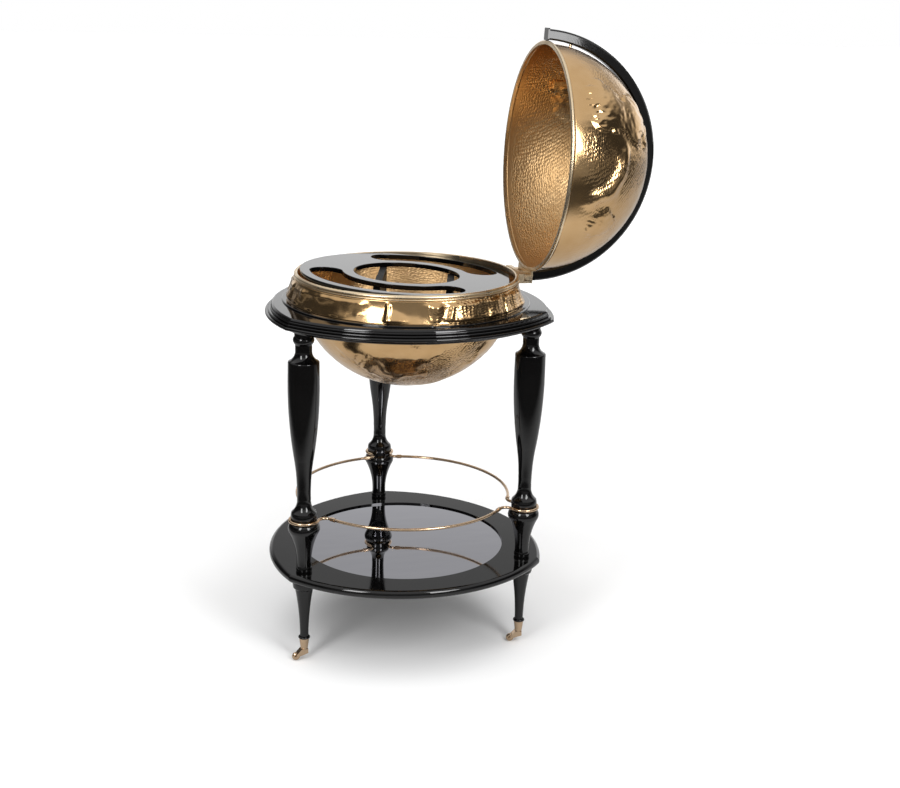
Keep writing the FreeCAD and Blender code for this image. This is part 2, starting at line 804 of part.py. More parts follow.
def castor_horn(name):
    """A forked horn that trails back from its swivel pin to the axle."""
    body = new_body("castor_horn_" + name)
    crown_top = cup_low - S.swivel_gap
    crown_low = crown_top - S.horn_crown_thick
    trail = -S.horn_trail
    wheel_room = S.wheel_wide + 2 * S.wheel_side_gap
    boss = S.horn_boss
    padded(
        body,
        "XZ_Plane",
        wheel_room + 2 * S.horn_plate,
        (S.horn_crown_radius, crown_low),
        (S.horn_crown_radius, crown_top),
        (-S.horn_crown_radius, crown_top),
        (trail - boss, S.wheel_radius),
        (trail + boss, S.wheel_radius, boss),
        both_ways=True,
    )
    room = S.wheel_radius + S.horn_wheel_gap
    pocket(
        body,
        "XZ_Plane",
        wheel_room,
        (trail + room, S.wheel_radius),
        (trail - room, S.wheel_radius, room),
        (trail + room, S.wheel_radius, room),
        both_ways=True,
    )
    bore = S.axle_radius + S.fit_gap
    pocket(
        body,
        "XZ_Plane",
        wheel_room + 4 * S.horn_plate,
        (trail + bore, S.wheel_radius),
        (trail - bore, S.wheel_radius, bore),
        (trail + bore, S.wheel_radius, bore),
        both_ways=True,
    )
    pin = body.newObject("PartDesign::AdditiveCylinder", "castor_pin_" + name)
    bind(pin, Radius=S.swivel_pin_radius, Height=S.horn_crown_thick + S.swivel_pin_tall)
    base = [item for item in body.Origin.OriginFeatures if item.Role == "XY_Plane"][0]
    pin.AttachmentSupport = [(base, "")]
    pin.MapMode = "FlatFace"
    pin.setExpression("AttachmentOffset.Base.z", crown_low.text)
    return body


def castor_axle(name):
    """A riveted axle with a round head at each end."""
    half = S.wheel_wide / 2 + S.wheel_side_gap + S.horn_plate
    end = half + S.axle_head_thick
    return turned(
        "castor_axle_" + name,
        (0, -end),
        (S.axle_head_radius, -half),
        (S.axle_radius, -half),
        (S.axle_radius, half),
        (S.axle_head_radius, half),
        (0, end),
        plane="XY_Plane",
    )


def castor_wheel(name):
    """A small brass wheel with a crowned tread and eased edges."""
    half = S.wheel_wide / 2
    bore = S.axle_radius + S.fit_gap
    tread = S.wheel_radius - S.wheel_crown
    edge = half - S.tread_ease
    return turned(
        "castor_wheel_" + name,
        (bore, -half),
        (tread - S.tread_ease, -half),
        (tread, -edge),
        (tread, edge, S.wheel_crown),
        (tread - S.tread_ease, half),
        (bore, half),
        plane="XY_Plane",
    )


for name, bearing in LEG_BEARINGS.items():
    leg_x, leg_y = spot(leg_circle, bearing)
    heading = as_size(CASTOR_HEADINGS[name])
    trail_x, trail_y = spot(S.horn_trail, heading)
    axle = (leg_x + trail_x, leg_y + trail_y, S.wheel_radius)
    spin = heading - HALF_TURN
    keep(set_at(castor_cup(name), leg_x, leg_y), "castor_cup_" + name)
    keep(set_at(castor_horn(name), leg_x, leg_y, turn=spin), "castor_horn_" + name)
    keep(set_at(castor_axle(name), *axle, turn=spin), "castor_axle_" + name)
    keep(set_at(castor_wheel(name), *axle, turn=spin), "castor_wheel_" + name)

# Bowl: the lower half of the globe, and its beaded rim
bowl_edge = across(S.globe_radius, S.rim_drop)
bowl_edge_inside = across(globe_inside, S.rim_drop)
keep(
    turned(
        "bowl",
        (0, globe_middle - S.globe_radius),
        (bowl_edge, rim_low, S.globe_radius, 1),
        (bowl_edge_inside, rim_low),
        (0, globe_middle - globe_inside, globe_inside, -1),
    ),
    "bowl",
)
high_bead_low = rim_low + S.low_bead_tall
crown_low = high_bead_low + S.high_bead_tall
keep(
    turned(
        "bowl_rim",
        (rim_inner, rim_low),
        (rim_face, rim_low),
        (rim_face, high_bead_low, S.low_bead_bulge),
        (rim_face, crown_low, S.high_bead_bulge),
        (rim_inner, crown_low, S.rim_crown),
    ),
    "bowl_rim",
)

# Skirt: a flared brass band that stands on the seat and reaches up to the rim
keep(
    turned(
        "bowl_skirt",
        (skirt_foot - S.skirt_wall, seat_top),
        (skirt_foot, seat_top),
        (skirt_outer, skirt_top, -S.skirt_hollow),
        (bowl_clear, skirt_top),
        (skirt_foot - S.skirt_wall, seat_top, S.skirt_hollow),
    ),
    "bowl_skirt",
)

# Boards that stand in the bowl and carry the tray
tray_level = rim_top - S.tray_sink
board_near = tray_hole - S.board_inset
board_far = board_near + S.board_thick
board_reach = tray_hole + S.board_lap
board_ball = set_at(primitive("Sphere", "board_ball", Radius=globe_inside - S.seat_gap), z=globe_middle)
for side, hand in (("left", -1), ("right", 1)):
    near = S.board_shift + (board_near if hand > 0 else -board_far)
    board_half = across(board_reach, board_far + hand * S.board_shift)
    low = globe_middle - S.globe_radius
    board = brick("board_" + side, near, near + S.board_thick, -board_half, board_half, low, globe_middle)
    shaped = trimmed("Common", "board_in_bowl_" + side, board, board_ball)
    set_at(shaped, turn=S.board_turn, axis=CLOCKWISE)
    reach = 2 * S.globe_radius
    over = primitive("Box", "board_over_" + side, Length=reach, Width=reach, Height=S.globe_radius)
    gap = S.tray_thick + S.seat_gap
    corner_x = -S.globe_radius * cosine(S.tray_tilt) - gap * sine(S.tray_tilt)
    corner_z = tray_level + S.globe_radius * sine(S.tray_tilt) - gap * cosine(S.tray_tilt)
    set_at(over, corner_x, -S.globe_radius, corner_z, turn=S.tray_tilt, axis=ALONG_Y)
    keep(trimmed("Cut", "tray_board_" + side, shaped, over), "tray_board_" + side)
stretchers = []
short_half = across(board_reach, board_far + S.board_shift)
for side, hand in (("front", -1), ("back", 1)):
    rod = primitive("Cylinder", "stretcher_" + side, Radius=S.stretcher_radius, Height=2 * board_near)
    level = globe_middle - globe_inside + S.stretcher_rise
    side_y = (short_half - S.stretcher_inset) * hand
    set_at(rod, S.board_shift - board_near, side_y, level, turn=QUARTER_TURN, axis=ALONG_Y)
    stretchers.append(rod)
stretcher_pair = combined("Compound", "board_stretchers", stretchers)
keep(set_at(stretcher_pair, turn=S.board_turn, axis=CLOCKWISE), "board_stretchers")

# Bar tray: a lift-out disc with a centre hole, two crescent slots and two finger flats
tray = new_body("tray")
padded(tray, "XY_Plane", S.tray_thick, *disc_steps(tray_radius), backward=True)
pocket(tray, "XY_Plane", S.tray_thick, *disc_steps(tray_hole))
slot_half = S.slot_wide / 2
for near, far in (
    (S.back_slot_start, S.back_slot_end),
    (S.front_slot_start, S.front_slot_end),
):
    pocket(
        tray,
        "XY_Plane",
        S.tray_thick,
        spot(slot_outer, near),
        (*spot(slot_outer, far), slot_outer, 1),
        (*spot(slot_inner, far), slot_half),
        (*spot(slot_inner, near), slot_inner, -1),
        (*spot(slot_outer, near), slot_half),
    )
flat_half = across(tray_radius, tray_radius - 2 * S.flat_deep)
for bearing in (S.hinge_flat_bearing, S.back_flat_bearing):
    chord_x, chord_y = spot(tray_radius - S.flat_deep, bearing)
    out_x, out_y = spot(2 * S.flat_deep, bearing)
    side_x, side_y = spot(flat_half, bearing + QUARTER_TURN)
    pocket(
        tray,
        "XY_Plane",
        S.tray_thick,
        (chord_x - side_x, chord_y - side_y),
        (chord_x - side_x + out_x, chord_y - side_y + out_y),
        (chord_x + side_x + out_x, chord_y + side_y + out_y),
        (chord_x + side_x, chord_y + side_y),
    )
keep(set_at(tray, z=tray_level, turn=S.tray_tilt, axis=ALONG_Y), "tray")


# Hinge: knuckles in turn along one pin, a bracket on the bowl rim, a leaf on the lid rim
def knuckle(name, start, long):
    obj = primitive("Cylinder", name, Radius=S.knuckle_radius, Height=long)
    return set_at(obj, hinge_reach, start + long, hinge_level, turn=QUARTER_TURN, axis=ALONG_X)


hinge_half = S.hinge_long / 2
bowl_near = S.middle_knuckle / 2 + S.knuckle_gap
bowl_far = bowl_near + S.bowl_knuckle
lid_near = bowl_far + S.knuckle_gap
knuckle_room = S.knuckle_radius + S.knuckle_clear
bar_face = hinge_reach - knuckle_room
sole_low = hinge_level - S.stop_drop
sole_top = hinge_level - knuckle_room - S.knuckle_clear
leaf_rise = leaf_low - hinge_level
stop_reach = (leaf_rise - S.stop_gap + S.stop_drop * cosine(S.lid_open)) / sine(S.lid_open)
stop_face = hinge_reach + stop_reach
pin_bore = primitive("Cylinder", "pin_bore", Radius=S.pin_radius + S.fit_gap, Height=2 * S.hinge_long)
set_at(pin_bore, hinge_reach, S.hinge_long, hinge_level, turn=QUARTER_TURN, axis=ALONG_X)

bowl_pieces = [
    brick("bowl_bar", rim_inner, bar_face, -hinge_half, hinge_half, sole_low, rim_top),
    brick("bowl_sole", rim_inner, stop_face, -hinge_half, hinge_half, sole_low, sole_top),
]
for tag, start in (("near", bowl_near), ("far", -bowl_far)):
    end = start + S.bowl_knuckle
    bowl_pieces.append(knuckle("bowl_knuckle_" + tag, start, S.bowl_knuckle))
    bowl_pieces.append(brick("bowl_lug_" + tag, rim_inner, hinge_reach, start, end, sole_low, hinge_level))
bowl_fused = combined("MultiFuse", "bowl_leaf_fused", bowl_pieces)
rim_room = upright("rim_room", rim_outer + S.seat_gap, skirt_top, rim_top - skirt_top + S.lid_gap)
skirt_room = turned(
    "skirt_room",
    (0, seat_top),
    (skirt_foot + S.seat_gap, seat_top),
    (skirt_outer + S.seat_gap, skirt_top, -S.skirt_hollow),
    (0, skirt_top),
)
bowl_leaf_tools = combined("MultiFuse", "bowl_leaf_tools", [rim_room, skirt_room, pin_bore])
keep(trimmed("Cut", "hinge_bowl_leaf", bowl_fused, bowl_leaf_tools), "hinge_bowl_leaf")
pin_long = S.hinge_long + 2 * S.pin_overrun
pin = primitive("Cylinder", "hinge_pin", Radius=S.pin_radius, Height=pin_long)
keep(set_at(pin, hinge_reach, pin_long / 2, hinge_level, turn=QUARTER_TURN, axis=ALONG_X), "hinge_pin")

# Lid: modelled shut over the bowl, then swung back about the hinge to where it rests open
lid_shift_x = hinge_reach - hinge_reach * cosine(S.lid_open) - hinge_level * sine(S.lid_open)
lid_shift_z = hinge_level + hinge_reach * sine(S.lid_open) - hinge_level * cosine(S.lid_open)


def keep_on_lid(obj, label):
    return keep(set_at(obj, lid_shift_x, 0, lid_shift_z, turn=S.lid_open, axis=ALONG_Y), label)


lid_edge_level = split_level + S.lid_rim_tall
dome_edge = across(S.globe_radius, S.lid_rim_tall)
dome_edge_inside = across(globe_inside, S.lid_rim_tall)
keep_on_lid(
    turned(
        "lid_dome",
        (dome_edge_inside, lid_edge_level),
        (dome_edge, lid_edge_level),
        (0, split_level + S.globe_radius, S.globe_radius, 1),
        (0, split_level + globe_inside),
        (dome_edge_inside, lid_edge_level, globe_inside, -1),
    ),
    "lid_dome",
)
keep_on_lid(
    turned(
        "lid_rim",
        (lid_rim_face - S.lid_rim_wide, split_level),
        (lid_rim_face, split_level),
        (lid_rim_face, lid_edge_level, S.lid_rim_bulge),
        (lid_rim_face - S.lid_rim_wide, lid_edge_level),
    ),
    "lid_rim",
)

leaf_far = hinge_reach + S.leaf_tail
end_knuckle = hinge_half - lid_near
leaf_plate = brick("lid_leaf_plate", rim_inner, leaf_far, -hinge_half, hinge_half, leaf_low, leaf_top)
leaf_pieces = [leaf_plate]
lid_knuckles = {
    "middle": (-S.middle_knuckle / 2, S.middle_knuckle),
    "near": (lid_near, end_knuckle),
    "far": (-hinge_half, end_knuckle),
}
for tag, (start, long) in lid_knuckles.items():
    near = hinge_reach - S.knuckle_radius
    far = hinge_reach + S.knuckle_radius
    leaf_pieces.append(knuckle("lid_knuckle_" + tag, start, long))
    leaf_pieces.append(brick("lid_web_" + tag, near, far, start, start + long, hinge_level, leaf_top))
leaf_fused = combined("MultiFuse", "lid_leaf_fused", leaf_pieces)
lid_rim_room = upright("lid_rim_room", lid_rim_outer, rim_top, S.globe_radius)
leaf_tools = combined("Compound", "lid_leaf_tools", [pin_bore, lid_rim_room])
keep_on_lid(trimmed("Cut", "hinge_lid_leaf", leaf_fused, leaf_tools), "hinge_lid_leaf")

# Meridian band over the lid, its studs and the lip plate at its free end
band_inner = S.globe_radius + S.band_standoff
band_outer = band_inner + S.band_deep
band_half = S.band_wide / 2
band = new_body("band_blank")
band_outline = outline(
    band,
    "XY_Plane",
    (band_inner + S.band_chamfer, -band_half),
    (band_outer - S.band_chamfer, -band_half),
    (band_outer, S.band_chamfer - band_half),
    (band_outer, band_half - S.band_chamfer),
    (band_outer - S.band_chamfer, band_half),
    (band_inner + S.band_chamfer, band_half),
    (band_inner, band_half - S.band_chamfer),
    (band_inner, S.band_chamfer - band_half),
)
sweep = band.newObject("PartDesign::Revolution", "band_sweep")
sweep.Profile = band_outline
sweep.ReferenceAxis = (band_outline, ["V_Axis"])
sweep.Angle = HALF_TURN
sweep.Reversed = True
set_at(band, z=split_level)
band_end = brick("band_end", -2 * band_outer, 2 * band_outer, -S.band_wide, S.band_wide, rim_low, leaf_top)
keep_on_lid(trimmed("Cut", "meridian_band_cut", band, band_end), "meridian_band")

studs = []
stud_bearings = {"hinge": S.stud_bearing, "pole": QUARTER_TURN, "free": HALF_TURN - S.stud_bearing}
for tag, bearing in stud_bearings.items():
    stud = primitive("Cylinder", "stud_" + tag, Radius=S.stud_radius, Height=band_outer)
    studs.append(set_at(stud, 0, 0, split_level, turn=QUARTER_TURN - bearing, axis=ALONG_Y))
stud_group = combined("Compound", "stud_group", studs)
stud_ball = set_at(primitive("Sphere", "stud_ball", Radius=S.globe_radius), z=split_level)
stud_outside = trimmed("Cut", "stud_outside", stud_group, stud_ball)
stud_reach = primitive("Cylinder", "stud_reach", Radius=band_inner, Height=S.hinge_long)
set_at(stud_reach, 0, hinge_half, split_level, turn=QUARTER_TURN, axis=ALONG_X)
keep_on_lid(trimmed("Common", "band_studs", stud_outside, stud_reach), "band_studs")

lip = new_body("band_lip")
lip_far = band_outer + S.lip_overhang
lip_near = lid_rim_outer + S.seat_gap
lip_half = band_half + S.lip_overhang
round_off = S.lip_fillet
padded(
    lip,
    "XY_Plane",
    S.leaf_thick,
    (-lip_far + round_off, -lip_half),
    (-lip_near - round_off, -lip_half),
    (-lip_near, -lip_half + round_off, round_off, 1),
    (-lip_near, lip_half - round_off),
    (-lip_near - round_off, lip_half, round_off, 1),
    (-lip_far + round_off, lip_half),
    (-lip_far, lip_half - round_off, round_off, 1),
    (-lip_far, -lip_half + round_off),
    (-lip_far + round_off, -lip_half, round_off, 1),
)
lip_x = lid_shift_x + leaf_low * sine(S.lid_open)
lip_z = lid_shift_z + leaf_low * cosine(S.lid_open)
keep(set_at(lip, lip_x, 0, lip_z, turn=S.lid_open, axis=ALONG_Y), "band_lip")

doc.recompute()

# Every object must stand up before any file is written
for obj in doc.Objects:
    if "Invalid" in obj.State or "Error" in obj.State:
        raise RuntimeError("object %s is in state %s" % (obj.Name, obj.State))
for node in nodes:
    if node.Shape.isNull() or not node.Shape.isValid() or not node.Shape.Solids:
        raise RuntimeError("sub-part %s has no sound shape" % node.Label)

os.makedirs("parts", exist_ok=True)
for node in nodes:
    node.Shape.exportStep(os.path.join("parts", node.Label + ".step"))
    box = node.Shape.optimalBoundingBox(True, False)
    print(node.Label, len(node.Shape.Solids), "z", round(box.ZMin, 2), "to", round(box.ZMax, 2))
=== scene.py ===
import json
import math
import bpy
import numpy as np
from mathutils import Matrix, Vector


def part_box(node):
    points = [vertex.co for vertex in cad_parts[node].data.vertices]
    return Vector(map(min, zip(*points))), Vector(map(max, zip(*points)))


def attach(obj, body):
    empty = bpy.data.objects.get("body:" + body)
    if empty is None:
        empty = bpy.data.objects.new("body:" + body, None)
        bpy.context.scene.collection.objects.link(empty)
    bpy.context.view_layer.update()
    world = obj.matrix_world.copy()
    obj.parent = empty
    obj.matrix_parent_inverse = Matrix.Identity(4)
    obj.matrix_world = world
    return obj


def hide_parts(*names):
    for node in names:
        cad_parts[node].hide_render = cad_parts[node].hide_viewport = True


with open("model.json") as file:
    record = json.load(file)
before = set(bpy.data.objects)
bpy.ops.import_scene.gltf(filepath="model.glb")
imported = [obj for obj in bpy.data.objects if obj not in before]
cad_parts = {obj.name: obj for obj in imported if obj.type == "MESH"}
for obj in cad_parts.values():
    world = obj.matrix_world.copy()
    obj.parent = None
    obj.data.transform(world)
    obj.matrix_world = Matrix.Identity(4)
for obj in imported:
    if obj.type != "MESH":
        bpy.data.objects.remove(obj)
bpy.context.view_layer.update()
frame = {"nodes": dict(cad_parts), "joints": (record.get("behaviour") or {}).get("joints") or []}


# Legs and feet
# Three legs and three feet turned from hardwood, sprayed with black lacquer and rubbed to a high gloss.
# Each leg meets its foot through the shelf on a rod, and carries the ring on its capped top.
leg_places = ("back", "front_left", "front_right")


def linear(code):
    """The linear colour of an sRGB hex value."""
    parts = [int(code[i:i + 2], 16) / 255 for i in (1, 3, 5)]
    return [p / 12.92 if p <= 0.04045 else ((p + 0.055) / 1.055) ** 2.4 for p in parts] + [1.0]


def add_node(tree, kind, links=None, **settings):
    """One node with its settings, its plain values and its links."""
    made = tree.nodes.new(kind)
    for name, value in settings.items():
        setattr(made, name, value)
    for key, value in (links or {}).items():
        if isinstance(value, bpy.types.NodeSocket):
            tree.links.new(value, made.inputs[key])
        else:
            made.inputs[key].default_value = value
    return made


def new_material(name):
    """An empty material, its tree and its shader."""
    material = bpy.data.materials.new(name)
    material.use_nodes = True
    return material, material.node_tree, material.node_tree.nodes["Principled BSDF"]


def dress(material, *names):
    """Puts a material on CAD nodes whose shape is already right."""
    for name in names:
        slots = frame["nodes"][name].data.materials
        slots.clear()
        slots.append(material)


# Black nitrocellulose lacquer over sanded wood: near-black, mirror gloss, with the faint orange peel
# of a sprayed coat, rubbing haze and a little brown where the coat is thin.
lacquer_dark, lacquer_thin = "#030303", "#090808"
orange_peel_mm, haze_mm, coat_patch_mm = 4.0, 45.0, 90.0
rubbed_rough, hazed_rough, peel_high = 0.03, 0.09, 0.00006
lacquer, tree, shader = new_material("black gloss lacquer on turned wood")
place = add_node(tree, "ShaderNodeTexCoord").outputs["Object"]
patch = add_node(tree, "ShaderNodeTexNoise", {"Vector": place, "Scale": 1000 / coat_patch_mm, "Detail": 3.0})
coat = add_node(tree, "ShaderNodeMix", {0: patch.outputs[0], 6: linear(lacquer_dark), 7: linear(lacquer_thin)},
                data_type="RGBA")
haze = add_node(tree, "ShaderNodeTexNoise", {"Vector": place, "Scale": 1000 / haze_mm, "Detail": 5.0})
gloss = add_node(tree, "ShaderNodeMapRange", {0: haze.outputs[0], 1: 0.3, 2: 0.75, 3: rubbed_rough,
                                              4: hazed_rough})
peel = add_node(tree, "ShaderNodeTexNoise", {"Vector": place, "Scale": 1000 / orange_peel_mm, "Detail": 1.0})
skin = add_node(tree, "ShaderNodeBump", {"Strength": 0.25, "Distance": peel_high, "Height": peel.outputs[0]})
tree.links.new(coat.outputs[2], shader.inputs["Base Color"])
tree.links.new(gloss.outputs[0], shader.inputs["Roughness"])
tree.links.new(skin.outputs[0], shader.inputs["Normal"])
for leg in leg_places:
    dress(lacquer, "leg_" + leg, "foot_" + leg)


# Rods
# Plain steel rods with rolled threads, run through the shelf into leg and foot, and from each leg into the ring.
# They are hidden once the stand is together.
# Zinc-plated steel: mid grey, half matt, with faint drawing lines along the rod.
steel_pale, steel_dark = "#9A9C9F", "#74777B"
drawing_line_mm, drawn_rough, plated_rough = 1.5, 0.25, 0.45
steel, tree, shader = new_material("zinc plated steel rod")
place = add_node(tree, "ShaderNodeTexCoord").outputs["Object"]
along = add_node(tree, "ShaderNodeMapping", {"Vector": place, "Scale": (1.0, 1.0, 0.05)})
lines = add_node(tree, "ShaderNodeTexNoise", {"Vector": along.outputs[0], "Scale": 1000 / drawing_line_mm})
tone = add_node(tree, "ShaderNodeMix", {0: lines.outputs[0], 6: linear(steel_pale), 7: linear(steel_dark)},
                data_type="RGBA")
gloss = add_node(tree, "ShaderNodeMapRange", {0: lines.outputs[0], 3: drawn_rough, 4: plated_rough})
tree.links.new(tone.outputs[2], shader.inputs["Base Color"])
tree.links.new(gloss.outputs[0], shader.inputs["Roughness"])
shader.inputs["Metallic"].default_value = 1.0
dress(steel, "leg_tie_rods", "leg_ring_rods")


# Shelf
# A three-cornered board with bowed sides and a bullnose edge, in the same black lacquer as the legs.
# A round pane of smoked mirror glass lies in a recess in its top.
dress(lacquer, "shelf")

# Smoked grey mirror: silvered glass seen through a grey tint, polished, with faint wiping smears.
mirror_clear, mirror_smeared = "#CCCCD2", "#C2C2C9"
smear_mm, wiped_rough, smeared_rough = 120.0, 0.015, 0.06
mirror, tree, shader = new_material("smoked grey mirror glass")
place = add_node(tree, "ShaderNodeTexCoord").outputs["Object"]
wipe = add_node(tree, "ShaderNodeMapping", {"Vector": place, "Rotation": (0.0, 0.0, 0.6), "Scale": (1.0, 4.0, 1.0)})
smear = add_node(tree, "ShaderNodeTexNoise", {"Vector": wipe.outputs[0], "Scale": 1000 / smear_mm, "Detail": 4.0})
tint = add_node(tree, "ShaderNodeMix", {0: smear.outputs[0], 6: linear(mirror_clear), 7: linear(mirror_smeared)},
                data_type="RGBA")
gloss = add_node(tree, "ShaderNodeMapRange", {0: smear.outputs[0], 1: 0.4, 2: 0.8, 3: wiped_rough,
                                              4: smeared_rough})
tree.links.new(tint.outputs[2], shader.inputs["Base Color"])
tree.links.new(gloss.outputs[0], shader.inputs["Roughness"])
shader.inputs["Metallic"].default_value = 1.0
dress(mirror, "shelf_glass")


# Gallery rail
# Brass rod bent into three arcs and three loops that go round the legs, soldered into short brass sleeves.
# The loops sit in a groove of each leg and hold the rail at bottle height.
# Polished brass: warm pale yellow, bright, with fine buffing lines and slightly duller fingered patches.
brass_pale, brass_warm = "#D9C0A4", "#C5A684"
buffing_mm, fingered_mm = 2.0, 30.0
buffed_rough, fingered_rough, buffing_high = 0.12, 0.26, 0.00008
trim_brass, tree, shader = new_material("polished drawn brass")
place = add_node(tree, "ShaderNodeTexCoord").outputs["Object"]
fingered = add_node(tree, "ShaderNodeTexNoise", {"Vector": place, "Scale": 1000 / fingered_mm, "Detail": 4.0})
tone = add_node(tree, "ShaderNodeMix", {0: fingered.outputs[0], 6: linear(brass_pale), 7: linear(brass_warm)},
                data_type="RGBA")
buffed = add_node(tree, "ShaderNodeTexNoise", {"Vector": place, "Scale": 1000 / buffing_mm, "Detail": 2.0})
gloss = add_node(tree, "ShaderNodeMapRange", {0: fingered.outputs[0], 1: 0.3, 2: 0.7, 3: buffed_rough,
                                              4: fingered_rough})
lines = add_node(tree, "ShaderNodeBump", {"Strength": 0.2, "Distance": buffing_high, "Height": buffed.outputs[0]})
tree.links.new(tone.outputs[2], shader.inputs["Base Color"])
tree.links.new(gloss.outputs[0], shader.inputs["Roughness"])
tree.links.new(lines.outputs[0], shader.inputs["Normal"])
shader.inputs["Metallic"].default_value = 1.0
dress(trim_brass, "rail_sleeves")
for leg in leg_places:
    dress(trim_brass, "rail_arc_" + leg, "rail_loop_" + leg)


# Castors
# A turned brass cup on each foot, a cast brass horn that swivels under it, and a solid brass wheel on a brass axle
# through the horn. All of them are polished like the rail.
for leg in leg_places:
    dress(trim_brass, "castor_cup_" + leg, "castor_horn_" + leg, "castor_wheel_" + leg, "castor_axle_" + leg)


# Horizon ring and seat
# The three-cornered ring board has a reeded edge and a coved underside, and carries a low seat round the bowl.
# Both are lacquered like the legs, and the seat is glued down on the ring.
dress(lacquer, "horizon_ring", "bowl_seat")


# Bowl
# The lower half of the globe, raised from brass sheet over a stake: beaten all over with a round hammer,
# with landmasses pushed out in low relief from the inside. It hangs in the ring under its rim.
globe_radius, globe_wall = 0.298, 0.002
globe_middle, sheet_edge, sheet_cells = 1.019, 0.008, 214

# Beaten brass sheet: warm gold and highly polished, browner where lacquer has gathered in the hollows, and duller
# inside. Small hammer blows lie in rows round the globe's crown. Four attributes of the sheet give the row and the
# place along it, how strongly the blows show there, and how dull the sheet is.
beaten_gold, beaten_brown = "#DAB88B", "#C29A66"
row_mm, blow_mm, wander_mm, crumple_mm, tone_mm = 6.5, 11.0, 28.0, 3.0, 60.0
row_wander, crumple_share, blow_high = 0.02, 0.08, 0.0012
polished_rough, hollow_rough, dull_rougher = 0.11, 0.21, 0.27
beaten_brass, tree, shader = new_material("hand beaten brass sheet")
place = add_node(tree, "ShaderNodeTexCoord").outputs["Object"]
toned = add_node(tree, "ShaderNodeTexNoise", {"Vector": place, "Scale": 1000 / tone_mm, "Detail": 5.0})
tone = add_node(tree, "ShaderNodeMix", {0: toned.outputs[0], 6: linear(beaten_gold), 7: linear(beaten_brown)},
                data_type="RGBA")
row = add_node(tree, "ShaderNodeAttribute", attribute_name="beaten_row").outputs["Fac"]
along = add_node(tree, "ShaderNodeAttribute", attribute_name="beaten_along").outputs["Fac"]
patch = add_node(tree, "ShaderNodeAttribute", attribute_name="beaten_patch").outputs["Fac"]
wander = add_node(tree, "ShaderNodeTexNoise", {"Vector": place, "Scale": 1000 / wander_mm, "Detail": 2.0})
bent_row = add_node(tree, "ShaderNodeMath", {0: wander.outputs[0], 1: row_wander, 2: row}, operation="MULTIPLY_ADD")
laid_out = add_node(tree, "ShaderNodeCombineXYZ", {0: bent_row.outputs[0], 1: along})
pitched = add_node(tree, "ShaderNodeVectorMath", {0: laid_out.outputs[0], 1: (1000 / row_mm, 1000 / blow_mm, 0.0)},
                   operation="MULTIPLY")
blow = add_node(tree, "ShaderNodeTexVoronoi", {"Vector": pitched.outputs[0], "Scale": 1.0, "Randomness": 0.45},
                voronoi_dimensions="2D")
worked = add_node(tree, "ShaderNodeMath", {0: blow.outputs["Distance"], 1: patch}, operation="MULTIPLY")
fine = add_node(tree, "ShaderNodeTexNoise", {"Vector": place, "Scale": 1000 / crumple_mm, "Detail": 2.0})
mixed = add_node(tree, "ShaderNodeMath", {0: fine.outputs[0], 1: crumple_share, 2: worked.outputs[0]},
                 operation="MULTIPLY_ADD")
marks = add_node(tree, "ShaderNodeBump", {"Strength": 0.85, "Distance": blow_high, "Height": mixed.outputs[0]})
polish = add_node(tree, "ShaderNodeMapRange", {0: toned.outputs[0], 1: 0.3, 2: 0.7, 3: polished_rough,
                                               4: hollow_rough})
dull = add_node(tree, "ShaderNodeAttribute", attribute_name="beaten_dull").outputs["Fac"]
gloss = add_node(tree, "ShaderNodeMath", {0: dull, 1: dull_rougher, 2: polish.outputs[0]}, operation="MULTIPLY_ADD")
tree.links.new(tone.outputs[2], shader.inputs["Base Color"])
tree.links.new(gloss.outputs[0], shader.inputs["Roughness"])
tree.links.new(marks.outputs[0], shader.inputs["Normal"])
shader.inputs["Metallic"].default_value = 1.0


def half_globe(name):
    """A closed half-globe sheet of even cells about the origin, open downwards, its crown at +Z."""
    steps = np.linspace(-1, 1, sheet_cells + 1)
    a, b = np.meshgrid(steps, steps, indexing="ij")
    wide = np.abs(a) > np.abs(b)
    safe_a, safe_b = np.where(a == 0, 1e-9, a), np.where(b == 0, 1e-9, b)
    spread = np.where(wide, a, b)
    turn = np.where(wide, math.pi / 4 * b / safe_a, math.pi / 2 - math.pi / 4 * a / safe_b)
    polar = 2 * np.arcsin(np.abs(spread) * math.sin(math.acos(sheet_edge / globe_radius) / 2))
    turn = np.where(spread < 0, turn + math.pi, turn)
    way = np.stack([np.sin(polar) * np.cos(turn), np.sin(polar) * np.sin(turn), np.cos(polar)], -1).reshape(-1, 3)
    points = np.concatenate([way * globe_radius, way * (globe_radius - globe_wall)])
    row = sheet_cells + 1
    number = np.arange(row * row).reshape(row, row)
    outer = np.stack([number[:-1, :-1], number[1:, :-1], number[1:, 1:], number[:-1, 1:]], -1).reshape(-1, 4)
    inner = outer[:, ::-1] + row * row
    border = np.concatenate([number[:-1, 0], number[-1, :-1], number[:0:-1, -1], number[0, :0:-1]])
    after = np.roll(border, -1)
    strip = np.stack([after, border, border + row * row, after + row * row], -1)
    mesh = bpy.data.meshes.new(name)
    mesh.from_pydata(points.tolist(), [], np.concatenate([outer, inner, strip]).tolist())
    mesh.polygons.foreach_set("use_smooth", [True] * len(mesh.polygons))
    piece = bpy.data.objects.new(name, mesh)
    bpy.context.scene.collection.objects.link(piece)
    return piece


